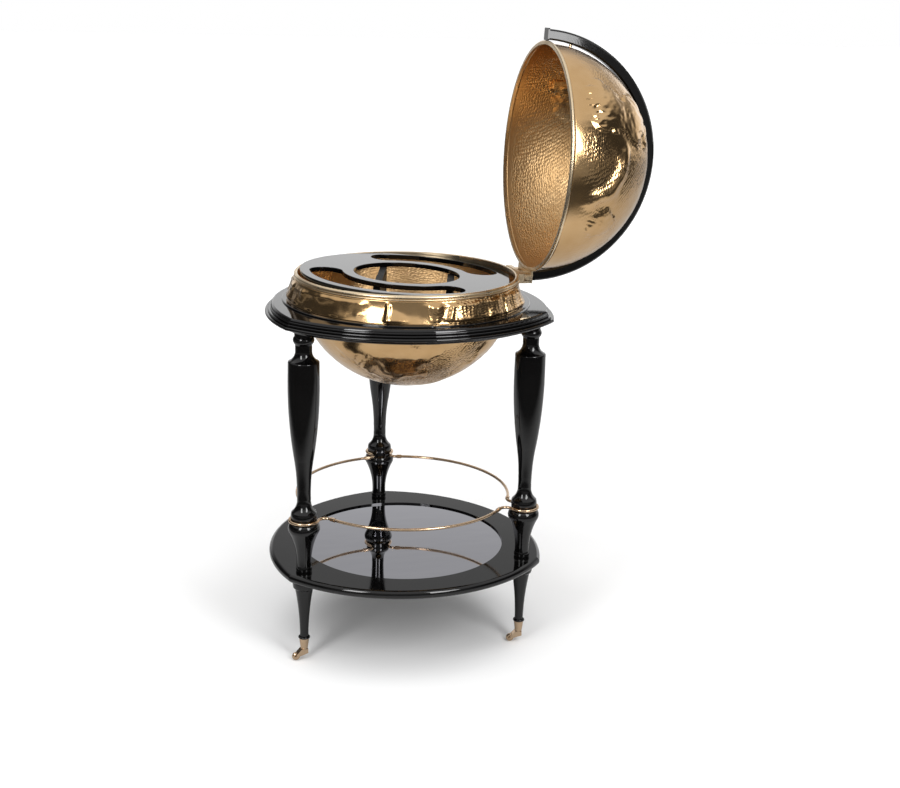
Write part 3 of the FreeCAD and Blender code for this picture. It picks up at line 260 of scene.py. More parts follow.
def new_tree(name, **inputs):
    """An empty Geometry Nodes tree with named inputs, and its two end nodes."""
    kinds = {float: "NodeSocketFloat", tuple: "NodeSocketVector"}
    tree = bpy.data.node_groups.new(name, "GeometryNodeTree")
    tree.interface.new_socket("Geometry", in_out="INPUT", socket_type="NodeSocketGeometry")
    tree.interface.new_socket("Geometry", in_out="OUTPUT", socket_type="NodeSocketGeometry")
    for label, value in inputs.items():
        socket = tree.interface.new_socket(label, in_out="INPUT", socket_type=kinds[type(value)])
        socket.default_value = value
    tree.interface.new_socket("finish", in_out="INPUT", socket_type="NodeSocketMaterial")
    return tree, tree.nodes.new("NodeGroupInput"), tree.nodes.new("NodeGroupOutput")


def work_sheet(piece, tree, **inputs):
    """Runs a Geometry Nodes tree on a piece and keeps the result as its plain mesh."""
    worked = piece.modifiers.new("worked sheet", "NODES")
    worked.node_group = tree
    for socket in tree.interface.items_tree:
        if socket.in_out == "INPUT" and socket.name in inputs:
            worked[socket.identifier] = inputs[socket.name]
    bpy.context.view_layer.update()
    made = piece.evaluated_get(bpy.context.evaluated_depsgraph_get())
    mesh = bpy.data.meshes.new_from_object(made)
    piece.modifiers.clear()
    piece.data = mesh


# The globe's relief: four low lands with ragged coasts and peaks, a basin with a ridge along its far shore, slow waves
# in the sheet, and hammer blows over everything. It fades out towards the sheet's edge and under the meridian band,
# where the rim, the ring and the studs need it plain. On the inside it shows through only on the side far from the
# hinge, and the rest of the inside is smooth but for its hammer rows.
coast_swing, coast_soft, peak_from, peak_full = 2.2, 0.25, 0.3, 0.9
waves_per_metre, shore_bend, shore_soft = 9.0, 0.1, 0.02
far_shore, ridge_from, ridge_full = (0.6, 0.0, 0.8), 0.02, 0.06
through_full, through_end, band_soft = -0.2, -0.03, 0.035
patches_per_metre, blows_least, blows_most = 7.0, 0.12, 0.8
rows_from, rows_full_outside, rows_full_inside, far_side_dull = 0.05, 0.29, 0.12, 0.25
globe_tree, given, result = new_tree("beaten globe sheet", land_high=0.005, land_a=(0.0, 0.0, 1.0), wide_a=0.07,
                                     land_b=(0.0, 0.0, 1.0), wide_b=0.07, land_c=(0.0, 0.0, 1.0), wide_c=0.05,
                                     land_d=(0.0, 0.0, 1.0), wide_d=0.09, coast_wide=0.06, basin=(0.0, 0.0, 1.0),
                                     basin_wide=0.09, ridge_high=0.011, ridge_wide=0.034, peak_high=0.003,
                                     blow_wide=0.014, blow_deep=0.0007, wave_high=0.0015, plain_below=0.05,
                                     full_above=0.2, band_clear=-1.0)
spot = add_node(globe_tree, "GeometryNodeInputPosition").outputs[0]
way = add_node(globe_tree, "ShaderNodeVectorMath", {0: spot}, operation="NORMALIZE").outputs[0]
sheet_spot = add_node(globe_tree, "ShaderNodeVectorMath", {0: way, "Scale": globe_radius},
                      operation="SCALE").outputs[0]
coast_scale = add_node(globe_tree, "ShaderNodeMath", {0: 1.0, 1: given.outputs["coast_wide"]}, operation="DIVIDE")
rough = add_node(globe_tree, "ShaderNodeTexNoise", {"Vector": sheet_spot, "Scale": coast_scale.outputs[0],
                                                    "Detail": 4.0, "Roughness": 0.6}).outputs[0]
rugged = add_node(globe_tree, "ShaderNodeMath", {0: rough, 1: coast_swing, 2: -coast_swing / 2},
                  operation="MULTIPLY_ADD").outputs[0]
nearest = -1.0
for mark in "abcd":
    apart = add_node(globe_tree, "ShaderNodeVectorMath", {0: sheet_spot, 1: given.outputs["land_" + mark]},
                     operation="DISTANCE").outputs["Value"]
    within = add_node(globe_tree, "ShaderNodeMapRange", {0: apart, 1: 0.0, 2: given.outputs["wide_" + mark], 3: 1.0,
                                                         4: 0.0}, clamp=False).outputs[0]
    nearest = add_node(globe_tree, "ShaderNodeMath", {0: within, 1: nearest}, operation="MAXIMUM").outputs[0]
ground = add_node(globe_tree, "ShaderNodeMath", {0: nearest, 1: rugged}).outputs[0]
land = add_node(globe_tree, "ShaderNodeMapRange", {0: ground, 1: 0.0, 2: coast_soft},
                interpolation_type="SMOOTHSTEP").outputs[0]
peak = add_node(globe_tree, "ShaderNodeMapRange", {0: ground, 1: peak_from, 2: peak_full},
                interpolation_type="SMOOTHSTEP").outputs[0]
peak_lift = add_node(globe_tree, "ShaderNodeMath", {0: peak, 1: given.outputs["peak_high"]},
                     operation="MULTIPLY").outputs[0]
lift = add_node(globe_tree, "ShaderNodeMath", {0: land, 1: given.outputs["land_high"], 2: peak_lift},
                operation="MULTIPLY_ADD").outputs[0]
from_middle = add_node(globe_tree, "ShaderNodeVectorMath", {0: sheet_spot, 1: given.outputs["basin"]},
                       operation="DISTANCE").outputs["Value"]
wavy = add_node(globe_tree, "ShaderNodeTexNoise", {"Vector": sheet_spot, "Scale": waves_per_metre, "Detail": 1.0})
wave = add_node(globe_tree, "ShaderNodeMath", {0: wavy.outputs[0], 1: 0.5}, operation="SUBTRACT").outputs[0]
bent = add_node(globe_tree, "ShaderNodeMath", {0: wave, 1: shore_bend, 2: from_middle},
                operation="MULTIPLY_ADD").outputs[0]
past_shore = add_node(globe_tree, "ShaderNodeMath", {0: bent, 1: given.outputs["basin_wide"]},
                      operation="SUBTRACT").outputs[0]
from_shore = add_node(globe_tree, "ShaderNodeMath", {0: past_shore}, operation="ABSOLUTE").outputs[0]
shore = add_node(globe_tree, "ShaderNodeMapRange", {0: from_shore, 1: 0.0, 2: given.outputs["ridge_wide"], 3: 1.0,
                                                    4: 0.0}, interpolation_type="SMOOTHSTEP").outputs[0]
from_basin = add_node(globe_tree, "ShaderNodeVectorMath", {0: sheet_spot, 1: given.outputs["basin"]},
                      operation="SUBTRACT").outputs[0]
far_way = add_node(globe_tree, "ShaderNodeVectorMath", {0: from_basin, 1: far_shore},
                   operation="DOT_PRODUCT").outputs["Value"]
on_far_shore = add_node(globe_tree, "ShaderNodeMapRange", {0: far_way, 1: ridge_from, 2: ridge_full},
                        interpolation_type="SMOOTHSTEP").outputs[0]
ridge = add_node(globe_tree, "ShaderNodeMath", {0: shore, 1: on_far_shore}, operation="MULTIPLY").outputs[0]
in_basin = add_node(globe_tree, "ShaderNodeMapRange", {0: past_shore, 1: -shore_soft, 2: 0.0, 3: 1.0, 4: 0.0},
                    interpolation_type="SMOOTHSTEP").outputs[0]
lift = add_node(globe_tree, "ShaderNodeMath", {0: ridge, 1: given.outputs["ridge_high"], 2: lift},
                operation="MULTIPLY_ADD").outputs[0]
far_out = add_node(globe_tree, "ShaderNodeVectorMath", {0: spot}, operation="LENGTH").outputs["Value"]
inside = add_node(globe_tree, "ShaderNodeMapRange", {0: far_out, 1: globe_radius - globe_wall, 2: globe_radius,
                                                     3: 1.0, 4: 0.0}).outputs[0]
across = add_node(globe_tree, "ShaderNodeSeparateXYZ", {0: sheet_spot})
near_hinge = add_node(globe_tree, "ShaderNodeMapRange", {0: across.outputs[0], 1: through_full, 2: through_end},
                      interpolation_type="SMOOTHSTEP").outputs[0]
smoothed = add_node(globe_tree, "ShaderNodeMath", {0: inside, 1: near_hinge}, operation="MULTIPLY").outputs[0]
shared = add_node(globe_tree, "ShaderNodeMath", {0: 1.0, 1: smoothed}, operation="SUBTRACT").outputs[0]
from_band = add_node(globe_tree, "ShaderNodeMath", {0: across.outputs[1]}, operation="ABSOLUTE").outputs[0]
band_far = add_node(globe_tree, "ShaderNodeMath", {0: given.outputs["band_clear"], 1: band_soft}).outputs[0]
past_band = add_node(globe_tree, "ShaderNodeMapRange", {0: from_band, 1: given.outputs["band_clear"], 2: band_far},
                     interpolation_type="SMOOTHSTEP").outputs[0]
land = add_node(globe_tree, "ShaderNodeMath", {0: land, 1: past_band}, operation="MULTIPLY").outputs[0]
shared = add_node(globe_tree, "ShaderNodeMath", {0: shared, 1: past_band}, operation="MULTIPLY").outputs[0]
lift = add_node(globe_tree, "ShaderNodeMath", {0: lift, 1: shared}, operation="MULTIPLY").outputs[0]
lift = add_node(globe_tree, "ShaderNodeMath", {0: wave, 1: given.outputs["wave_high"], 2: lift},
                operation="MULTIPLY_ADD").outputs[0]
blow_scale = add_node(globe_tree, "ShaderNodeMath", {0: 1.0, 1: given.outputs["blow_wide"]}, operation="DIVIDE")
blows = add_node(globe_tree, "ShaderNodeTexVoronoi", {"Vector": sheet_spot, "Scale": blow_scale.outputs[0],
                                                      "Randomness": 0.8})
hollow = add_node(globe_tree, "ShaderNodeMath", {0: blows.outputs["Distance"], 1: 2.0}, operation="POWER").outputs[0]
lift = add_node(globe_tree, "ShaderNodeMath", {0: hollow, 1: given.outputs["blow_deep"], 2: lift},
                operation="MULTIPLY_ADD").outputs[0]
height = add_node(globe_tree, "ShaderNodeSeparateXYZ", {0: way}).outputs[2]
fade = add_node(globe_tree, "ShaderNodeMapRange", {0: height, 1: given.outputs["plain_below"],
                                                   2: given.outputs["full_above"]},
                interpolation_type="SMOOTHSTEP").outputs[0]
lift = add_node(globe_tree, "ShaderNodeMath", {0: lift, 1: fade}, operation="MULTIPLY").outputs[0]
push = add_node(globe_tree, "ShaderNodeVectorMath", {0: way, "Scale": lift}, operation="SCALE").outputs[0]
crown_angle = add_node(globe_tree, "ShaderNodeMath", {0: height}, operation="ARCCOSINE").outputs[0]
crown_way = add_node(globe_tree, "ShaderNodeMath", {0: crown_angle, 1: globe_radius}, operation="MULTIPLY").outputs[0]
bare_land = add_node(globe_tree, "ShaderNodeMath", {0: land, 1: shared}, operation="MULTIPLY").outputs[0]
bare = add_node(globe_tree, "ShaderNodeMath", {0: 1.0, 1: bare_land}, operation="SUBTRACT").outputs[0]
spread = add_node(globe_tree, "ShaderNodeTexNoise", {"Vector": sheet_spot, "Scale": patches_per_metre, "Detail": 1.0})
patchy = add_node(globe_tree, "ShaderNodeMapRange", {0: spread.outputs[0], 1: 0.42, 2: 0.58, 3: blows_least,
                                                     4: blows_most}, interpolation_type="SMOOTHSTEP").outputs[0]
for mask in (inside, in_basin):
    patchy = add_node(globe_tree, "ShaderNodeMath", {0: patchy, 1: mask}, operation="MAXIMUM").outputs[0]
patch = add_node(globe_tree, "ShaderNodeMath", {0: patchy, 1: bare}, operation="MULTIPLY").outputs[0]
rows_full = add_node(globe_tree, "ShaderNodeMath", {0: inside, 1: rows_full_inside - rows_full_outside,
                                                    2: rows_full_outside}, operation="MULTIPLY_ADD").outputs[0]
from_edge = add_node(globe_tree, "ShaderNodeMapRange", {0: height, 1: rows_from, 2: rows_full},
                     interpolation_type="SMOOTHSTEP")
patch = add_node(globe_tree, "ShaderNodeMath", {0: patch, 1: from_edge.outputs[0]}, operation="MULTIPLY").outputs[0]
turn = add_node(globe_tree, "ShaderNodeMath", {0: across.outputs[1], 1: across.outputs[0]},
                operation="ARCTAN2").outputs[0]
crown_reach = add_node(globe_tree, "ShaderNodeMath", {0: crown_angle}, operation="SINE").outputs[0]
ring_reach = add_node(globe_tree, "ShaderNodeMath", {0: crown_reach, 1: globe_radius},
                      operation="MULTIPLY").outputs[0]
ring_way = add_node(globe_tree, "ShaderNodeMath", {0: turn, 1: ring_reach}, operation="MULTIPLY").outputs[0]
rowed = add_node(globe_tree, "GeometryNodeStoreNamedAttribute", {"Geometry": given.outputs["Geometry"],
                                                                 "Name": "beaten_row", "Value": crown_way})
ringed = add_node(globe_tree, "GeometryNodeStoreNamedAttribute", {"Geometry": rowed.outputs[0],
                                                                  "Name": "beaten_along", "Value": ring_way})
patched = add_node(globe_tree, "GeometryNodeStoreNamedAttribute", {"Geometry": ringed.outputs[0],
                                                                   "Name": "beaten_patch", "Value": patch})
dull = add_node(globe_tree, "ShaderNodeMapRange", {0: near_hinge, 3: far_side_dull, 4: 1.0}).outputs[0]
dull_inside = add_node(globe_tree, "ShaderNodeMath", {0: inside, 1: dull}, operation="MULTIPLY").outputs[0]
sided = add_node(globe_tree, "GeometryNodeStoreNamedAttribute", {"Geometry": patched.outputs[0],
                                                                 "Name": "beaten_dull", "Value": dull_inside})
beaten = add_node(globe_tree, "GeometryNodeSetPosition", {"Geometry": sided.outputs[0], "Offset": push})
joined = add_node(globe_tree, "GeometryNodeRealizeInstances", {0: beaten.outputs[0]})
coated = add_node(globe_tree, "GeometryNodeSetMaterial", {"Geometry": joined.outputs[0],
                                                          "Material": given.outputs["finish"]})
globe_tree.links.new(coated.outputs[0], result.inputs[0])

bowl_sheet = half_globe("bowl_beaten_sheet")
work_sheet(bowl_sheet, globe_tree, land_high=0.0025, peak_high=0.0008, ridge_high=0.003,
           land_a=(-0.079, 0.22, 0.185), wide_a=0.11, land_b=(-0.178, 0.186, 0.15), land_c=(0.177, 0.174, 0.165),
           land_d=(0.1, -0.2, 0.19), basin=(0.03, 0.21, 0.21), plain_below=0.45, full_above=0.56, finish=beaten_brass)
bowl_sheet.data.transform(Matrix.Translation((0, 0, globe_middle)) @ Matrix.Rotation(math.pi, 4, "X"))
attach(bowl_sheet, "stand")
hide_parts("bowl")


# Bowl clips
# Three flat brass clips under the ring reach in against the bowl and keep it in its place.
# Each is sawn from strip and held by two steel screws.
dress(trim_brass, "bowl_clips")
dress(steel, "clip_screws")


# Skirt
# A flared band of the same beaten brass between the bowl's rim and the seat, closed by hand round the bowl,
# so that it stands in loose upright folds. Its foot rests on the seat and its top is soldered under the rim.
skirt_low, skirt_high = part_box("bowl_skirt")
skirt_foot_level, skirt_top_level = skirt_low.z, skirt_high.z
skirt_cells_round, skirt_cells_up, skirt_wall, flare_hollow = 900, 30, 0.002, 0.004
edge_within = 0.0005
skirt_points = np.array([v.co for v in frame["nodes"]["bowl_skirt"].data.vertices])
skirt_reach = np.hypot(skirt_points[:, 0], skirt_points[:, 1])
levels = np.linspace(skirt_foot_level, skirt_top_level, skirt_cells_up + 1)
foot_reach = skirt_reach[skirt_points[:, 2] < skirt_foot_level + edge_within].max()
top_reach = skirt_reach[skirt_points[:, 2] > skirt_top_level - edge_within].max()
up = (levels - skirt_foot_level) / (skirt_top_level - skirt_foot_level)
reach = foot_reach + (top_reach - foot_reach) * up - 4 * flare_hollow * up * (1 - up)
round_angles = np.linspace(0, 2 * math.pi, skirt_cells_round, endpoint=False)
ring_way = np.stack([np.cos(round_angles), np.sin(round_angles)], -1)
walls = []
for offset in (0, skirt_wall):
    flat = (reach - offset)[:, None, None] * ring_way[None]
    walls.append(np.concatenate([flat, np.repeat(levels[:, None, None], skirt_cells_round, 1)], -1).reshape(-1, 3))
number = np.arange((skirt_cells_up + 1) * skirt_cells_round).reshape(skirt_cells_up + 1, skirt_cells_round)
after = np.roll(number, -1, 1)
shift = number.size
outer = np.stack([number[:-1], after[:-1], after[1:], number[1:]], -1).reshape(-1, 4)
top_strip = np.stack([number[-1], after[-1], after[-1] + shift, number[-1] + shift], -1)
foot_strip = np.stack([after[0], number[0], number[0] + shift, after[0] + shift], -1)
mesh = bpy.data.meshes.new("skirt_beaten_band")
mesh.from_pydata(np.concatenate(walls).tolist(), [],
                 np.concatenate([outer, outer[:, ::-1] + shift, top_strip, foot_strip]).tolist())
mesh.polygons.foreach_set("use_smooth", [True] * len(mesh.polygons))
skirt_band = bpy.data.objects.new("skirt_beaten_band", mesh)
bpy.context.scene.collection.objects.link(skirt_band)

# Soft folds and swells run up the band, with two sharp creases at the front where it was pinched in closing.
# It is plain at its two edges and behind the hinge, and its hammer rows show on the hinge's half.
skirt_mean_reach, fold_soft, crease_bend, skirt_dull = 0.31, 0.16, 0.06, 0.08
rows_side_from, rows_side_full = -0.15, 0.25
skirt_tree, given, result = new_tree("folded skirt band", fold_high=0.005, fold_wide=0.09, swell_high=0.005,
                                     swell_wide=0.15, blow_wide=0.012, blow_deep=0.0003, foot_level=skirt_foot_level,
                                     top_level=skirt_top_level, hinge_from=0.93, hinge_full=0.88, crease_a=-1.943,
                                     crease_b=-1.538, crease_high=0.006, crease_wide=0.014)
spot = add_node(skirt_tree, "GeometryNodeInputPosition").outputs[0]
level_way = add_node(skirt_tree, "ShaderNodeVectorMath", {0: spot, 1: (1.0, 1.0, 0.0)},
                     operation="MULTIPLY").outputs[0]
way = add_node(skirt_tree, "ShaderNodeVectorMath", {0: level_way}, operation="NORMALIZE").outputs[0]
upright = add_node(skirt_tree, "ShaderNodeVectorMath", {0: spot, 1: (1.0, 1.0, 0.35)},
                   operation="MULTIPLY").outputs[0]
fold_scale = add_node(skirt_tree, "ShaderNodeMath", {0: 1.0, 1: given.outputs["fold_wide"]}, operation="DIVIDE")
folds = add_node(skirt_tree, "ShaderNodeTexNoise", {"Vector": upright, "Scale": fold_scale.outputs[0], "Detail": 1.0,
                                                    "Distortion": 0.4})
centred = add_node(skirt_tree, "ShaderNodeMath", {0: folds.outputs[0], 1: 0.5}, operation="SUBTRACT").outputs[0]
off_fold = add_node(skirt_tree, "ShaderNodeMath", {0: centred}, operation="ABSOLUTE").outputs[0]
fold = add_node(skirt_tree, "ShaderNodeMapRange", {0: off_fold, 1: 0.0, 2: fold_soft, 3: 1.0, 4: 0.0},
                interpolation_type="SMOOTHSTEP").outputs[0]
swell_scale = add_node(skirt_tree, "ShaderNodeMath", {0: 1.0, 1: given.outputs["swell_wide"]}, operation="DIVIDE")
swells = add_node(skirt_tree, "ShaderNodeTexNoise", {"Vector": spot, "Scale": swell_scale.outputs[0], "Detail": 1.0})
swell = add_node(skirt_tree, "ShaderNodeMapRange", {0: swells.outputs[0], 1: 0.42, 2: 0.58},
                 interpolation_type="SMOOTHSTEP").outputs[0]
lift = add_node(skirt_tree, "ShaderNodeMath", {0: fold, 1: given.outputs["fold_high"]},
                operation="MULTIPLY").outputs[0]
lift = add_node(skirt_tree, "ShaderNodeMath", {0: lift, 1: swell}, operation="MULTIPLY").outputs[0]
lift = add_node(skirt_tree, "ShaderNodeMath", {0: swell, 1: given.outputs["swell_high"], 2: lift},
                operation="MULTIPLY_ADD").outputs[0]
place = add_node(skirt_tree, "ShaderNodeSeparateXYZ", {0: spot})
turn = add_node(skirt_tree, "ShaderNodeMath", {0: place.outputs[1], 1: place.outputs[0]},
                operation="ARCTAN2").outputs[0]
ring_way = add_node(skirt_tree, "ShaderNodeMath", {0: turn, 1: skirt_mean_reach}, operation="MULTIPLY").outputs[0]
for mark in "ab":
    past = add_node(skirt_tree, "ShaderNodeMath", {0: turn, 1: given.outputs["crease_" + mark]}, operation="SUBTRACT")
    past_way = add_node(skirt_tree, "ShaderNodeMath", {0: past.outputs[0], 1: skirt_mean_reach}, operation="MULTIPLY")
    bent = add_node(skirt_tree, "ShaderNodeMath", {0: centred, 1: crease_bend, 2: past_way.outputs[0]},
                    operation="MULTIPLY_ADD")
    apart = add_node(skirt_tree, "ShaderNodeMath", {0: bent.outputs[0]}, operation="ABSOLUTE")
    pinch = add_node(skirt_tree, "ShaderNodeMapRange", {0: apart.outputs[0], 1: 0.0, 2: given.outputs["crease_wide"],
                                                        3: 1.0, 4: 0.0}, interpolation_type="SMOOTHSTEP")
    lift = add_node(skirt_tree, "ShaderNodeMath", {0: pinch.outputs[0], 1: given.outputs["crease_high"], 2: lift},
                    operation="MULTIPLY_ADD").outputs[0]
blow_scale = add_node(skirt_tree, "ShaderNodeMath", {0: 1.0, 1: given.outputs["blow_wide"]}, operation="DIVIDE")
blows = add_node(skirt_tree, "ShaderNodeTexVoronoi", {"Vector": spot, "Scale": blow_scale.outputs[0],
                                                      "Randomness": 0.8})
hollow = add_node(skirt_tree, "ShaderNodeMath", {0: blows.outputs["Distance"], 1: 2.0}, operation="POWER").outputs[0]
lift = add_node(skirt_tree, "ShaderNodeMath", {0: hollow, 1: given.outputs["blow_deep"], 2: lift},
                operation="MULTIPLY_ADD").outputs[0]
height = place.outputs[2]
part_up = add_node(skirt_tree, "ShaderNodeMapRange", {0: height, 1: given.outputs["foot_level"],
                                                      2: given.outputs["top_level"]}).outputs[0]
from_foot = add_node(skirt_tree, "ShaderNodeMapRange", {0: part_up, 1: 0.0, 2: 0.2},
                     interpolation_type="SMOOTHSTEP").outputs[0]
from_top = add_node(skirt_tree, "ShaderNodeMapRange", {0: part_up, 1: 1.0, 2: 0.75},
                    interpolation_type="SMOOTHSTEP").outputs[0]
side = add_node(skirt_tree, "ShaderNodeSeparateXYZ", {0: way}).outputs[0]
from_hinge = add_node(skirt_tree, "ShaderNodeMapRange", {0: side, 1: given.outputs["hinge_from"],
                                                         2: given.outputs["hinge_full"]},
                      interpolation_type="SMOOTHSTEP").outputs[0]
for mask in (from_foot, from_top, from_hinge):
    lift = add_node(skirt_tree, "ShaderNodeMath", {0: lift, 1: mask}, operation="MULTIPLY").outputs[0]
push = add_node(skirt_tree, "ShaderNodeVectorMath", {0: way, "Scale": lift}, operation="SCALE").outputs[0]
rows_side = add_node(skirt_tree, "ShaderNodeMapRange", {0: side, 1: rows_side_from, 2: rows_side_full},
                     interpolation_type="SMOOTHSTEP").outputs[0]
rowed = add_node(skirt_tree, "GeometryNodeStoreNamedAttribute", {"Geometry": given.outputs["Geometry"],
                                                                 "Name": "beaten_row", "Value": height})
ringed = add_node(skirt_tree, "GeometryNodeStoreNamedAttribute", {"Geometry": rowed.outputs[0],
                                                                  "Name": "beaten_along", "Value": ring_way})
patched = add_node(skirt_tree, "GeometryNodeStoreNamedAttribute", {"Geometry": ringed.outputs[0],
                                                                   "Name": "beaten_patch", "Value": rows_side})
dulled = add_node(skirt_tree, "GeometryNodeStoreNamedAttribute", {"Geometry": patched.outputs[0],
                                                                  "Name": "beaten_dull", "Value": skirt_dull})
beaten = add_node(skirt_tree, "GeometryNodeSetPosition", {"Geometry": dulled.outputs[0], "Offset": push})
joined = add_node(skirt_tree, "GeometryNodeRealizeInstances", {0: beaten.outputs[0]})
coated = add_node(skirt_tree, "GeometryNodeSetMaterial", {"Geometry": joined.outputs[0],
                                                          "Material": given.outputs["finish"]})
skirt_tree.links.new(coated.outputs[0], result.inputs[0])
work_sheet(skirt_band, skirt_tree, finish=beaten_brass)
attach(skirt_band, "stand")
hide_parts("bowl_skirt")


# Bowl rim
# A turned brass ring with two beads, soldered round the bowl's edge over the top of the skirt.
# The lid's rim comes down on it when the globe is shut.
# Satin brass: yellow gold, brushed round and then polished, so it shines softly, with darker spots of wear.
rim_gold, rim_worn = "#F0DDBF", "#E0C7A0"
brushed_mm, worn_mm = 1.2, 35.0
brushed_rough, worn_rough, brushing_high = 0.24, 0.36, 0.00006
rim_brass, tree, shader = new_material("satin brushed brass rim")
place = add_node(tree, "ShaderNodeTexCoord").outputs["Object"]
worn = add_node(tree, "ShaderNodeTexNoise", {"Vector": place, "Scale": 1000 / worn_mm, "Detail": 4.0})
tone = add_node(tree, "ShaderNodeMix", {0: worn.outputs[0], 6: linear(rim_gold), 7: linear(rim_worn)},
                data_type="RGBA")
brushed = add_node(tree, "ShaderNodeTexNoise", {"Vector": place, "Scale": 1000 / brushed_mm, "Detail": 2.0})
gloss = add_node(tree, "ShaderNodeMapRange", {0: worn.outputs[0], 1: 0.3, 2: 0.7, 3: brushed_rough,
                                              4: worn_rough})
lines = add_node(tree, "ShaderNodeBump", {"Strength": 0.2, "Distance": brushing_high, "Height": brushed.outputs[0]})
tree.links.new(tone.outputs[2], shader.inputs["Base Color"])
tree.links.new(gloss.outputs[0], shader.inputs["Roughness"])
tree.links.new(lines.outputs[0], shader.inputs["Normal"])
shader.inputs["Metallic"].default_value = 1.0
dress(rim_brass, "bowl_rim")


# Tray boards
# Two boards stand across the bowl with two stretchers between them and carry the tray.
# They are sawn from plywood and stained, not polished, because the tray hides most of them.
# Black stained plywood: dull, with long grain that shows a little in the gloss.
stain_dark, stain_thin, stain_grain_mm = "#040404", "#0C0A09", 6.0
stained_rough, grain_rough, stain_shine = 0.45, 0.6, 0.12
stained_board, tree, shader = new_material("black stained plywood")
place = add_node(tree, "ShaderNodeTexCoord").outputs["Object"]
drawn = add_node(tree, "ShaderNodeVectorMath", {0: place, 1: (1.0, 1.0, 0.08)}, operation="MULTIPLY")
grain = add_node(tree, "ShaderNodeTexNoise", {"Vector": drawn.outputs[0], "Scale": 1000 / stain_grain_mm,
                                              "Detail": 4.0})
stain = add_node(tree, "ShaderNodeMix", {0: grain.outputs[0], 6: linear(stain_dark), 7: linear(stain_thin)},
                 data_type="RGBA")
gloss = add_node(tree, "ShaderNodeMapRange", {0: grain.outputs[0], 1: 0.3, 2: 0.7, 3: stained_rough,
                                              4: grain_rough})
tree.links.new(stain.outputs[2], shader.inputs["Base Color"])
tree.links.new(gloss.outputs[0], shader.inputs["Roughness"])
shader.inputs["Specular IOR Level"].default_value = stain_shine
dress(stained_board, "tray_board_left", "tray_board_right", "board_stretchers")


# Tray
# A lift-out round board in black gloss lacquer with a round middle hole, two crescent slots for bottles and glasses,
# and two finger flats. Its arrises are eased before it is lacquered.
tray_ease, corner_gap = 0.0012, 0.000005
flat_within, arris_from = math.radians(0.5), math.radians(40)


def eased_copy(node, name, width):
    """A copy of a CAD node with its arrises eased and its flats kept flat."""
    mesh = frame["nodes"][node].data.copy()
    mesh.materials.clear()
    piece = bpy.data.objects.new(name, mesh)
    bpy.context.scene.collection.objects.link(piece)
    weld = piece.modifiers.new("joined corners", "WELD")
    weld.merge_threshold = corner_gap
    flat = piece.modifiers.new("clean flats", "DECIMATE")
    flat.decimate_type = "DISSOLVE"
    flat.angle_limit = flat_within
    ease = piece.modifiers.new("eased arrises", "BEVEL")
    ease.width, ease.segments, ease.limit_method, ease.angle_limit = width, 3, "ANGLE", arris_from
    even = piece.modifiers.new("even shading", "WEIGHTED_NORMAL")
    even.keep_sharp = False
    mesh.polygons.foreach_set("use_smooth", [True] * len(mesh.polygons))
    bpy.context.view_layer.update()
    made = bpy.data.meshes.new_from_object(piece.evaluated_get(bpy.context.evaluated_depsgraph_get()))
    piece.modifiers.clear()
    piece.data = made
    return piece


tray_top = eased_copy("tray", "tray_eased_board", tray_ease)
tray_top.data.materials.append(lacquer)
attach(tray_top, "tray")
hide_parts("tray")


# Hinge
# Two brass leaves with five knuckles on one pin, cut from bar and polished. The lower one is riveted to the bowl
# and stops the lid when it is open; the upper one is riveted to the lid's rim.
dress(rim_brass, "hinge_pin", "hinge_bowl_leaf", "hinge_lid_leaf")


# Lid
# The upper half of the globe, raised and beaten like the bowl, with land in relief on its outside.
# Its rim is a turned brass bead. It stands open on the hinge, a little past upright, against the stop.
split_level = 1.026
lid_hinge = next(j for j in frame["joints"] if j["name"] == "lid_hinge")
hinge_spot = Vector(lid_hinge["pos_m"])
open_angle = math.radians(-lid_hinge["range_deg"][0])
lid_open = (Matrix.Translation(hinge_spot) @ Matrix.Rotation(open_angle, 4, "Y") @ Matrix.Translation(-hinge_spot)
            @ Matrix.Translation((0, 0, split_level)))
lid_sheet = half_globe("lid_beaten_sheet")
work_sheet(lid_sheet, globe_tree, land_a=(-0.155, -0.225, 0.115), land_b=(-0.126, -0.178, 0.202),
           land_c=(0.138, -0.237, 0.116), land_d=(-0.14, 0.19, 0.18), basin=(-0.012, -0.288, 0.075), plain_below=0.05,
           full_above=0.22, band_clear=0.02, finish=beaten_brass)
lid_sheet.data.transform(lid_open)
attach(lid_sheet, "lid")
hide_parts("lid_dome")
dress(rim_brass, "lid_rim")


# Meridian band
# A bent half hoop of black lacquered wood over the lid, held off it by three brass studs,
# with a lip plate at its free end to lift the lid by.
dress(lacquer, "meridian_band", "band_lip")
dress(trim_brass, "band_studs")


# Studio
# A white painted floor, a bright backdrop behind the object, upright softboxes on both sides of the camera, and an even
# ceiling light. The wall behind the camera is grey and the side walls are dark.
floor_half = 40.0
mesh = bpy.data.meshes.new("studio_floor")
mesh.from_pydata([(-floor_half, -floor_half, 0), (floor_half, -floor_half, 0), (floor_half, floor_half, 0),
                  (-floor_half, floor_half, 0)], [], [(0, 1, 2, 3)])
studio_floor = bpy.data.objects.new("studio_floor", mesh)
bpy.context.scene.collection.objects.link(studio_floor)

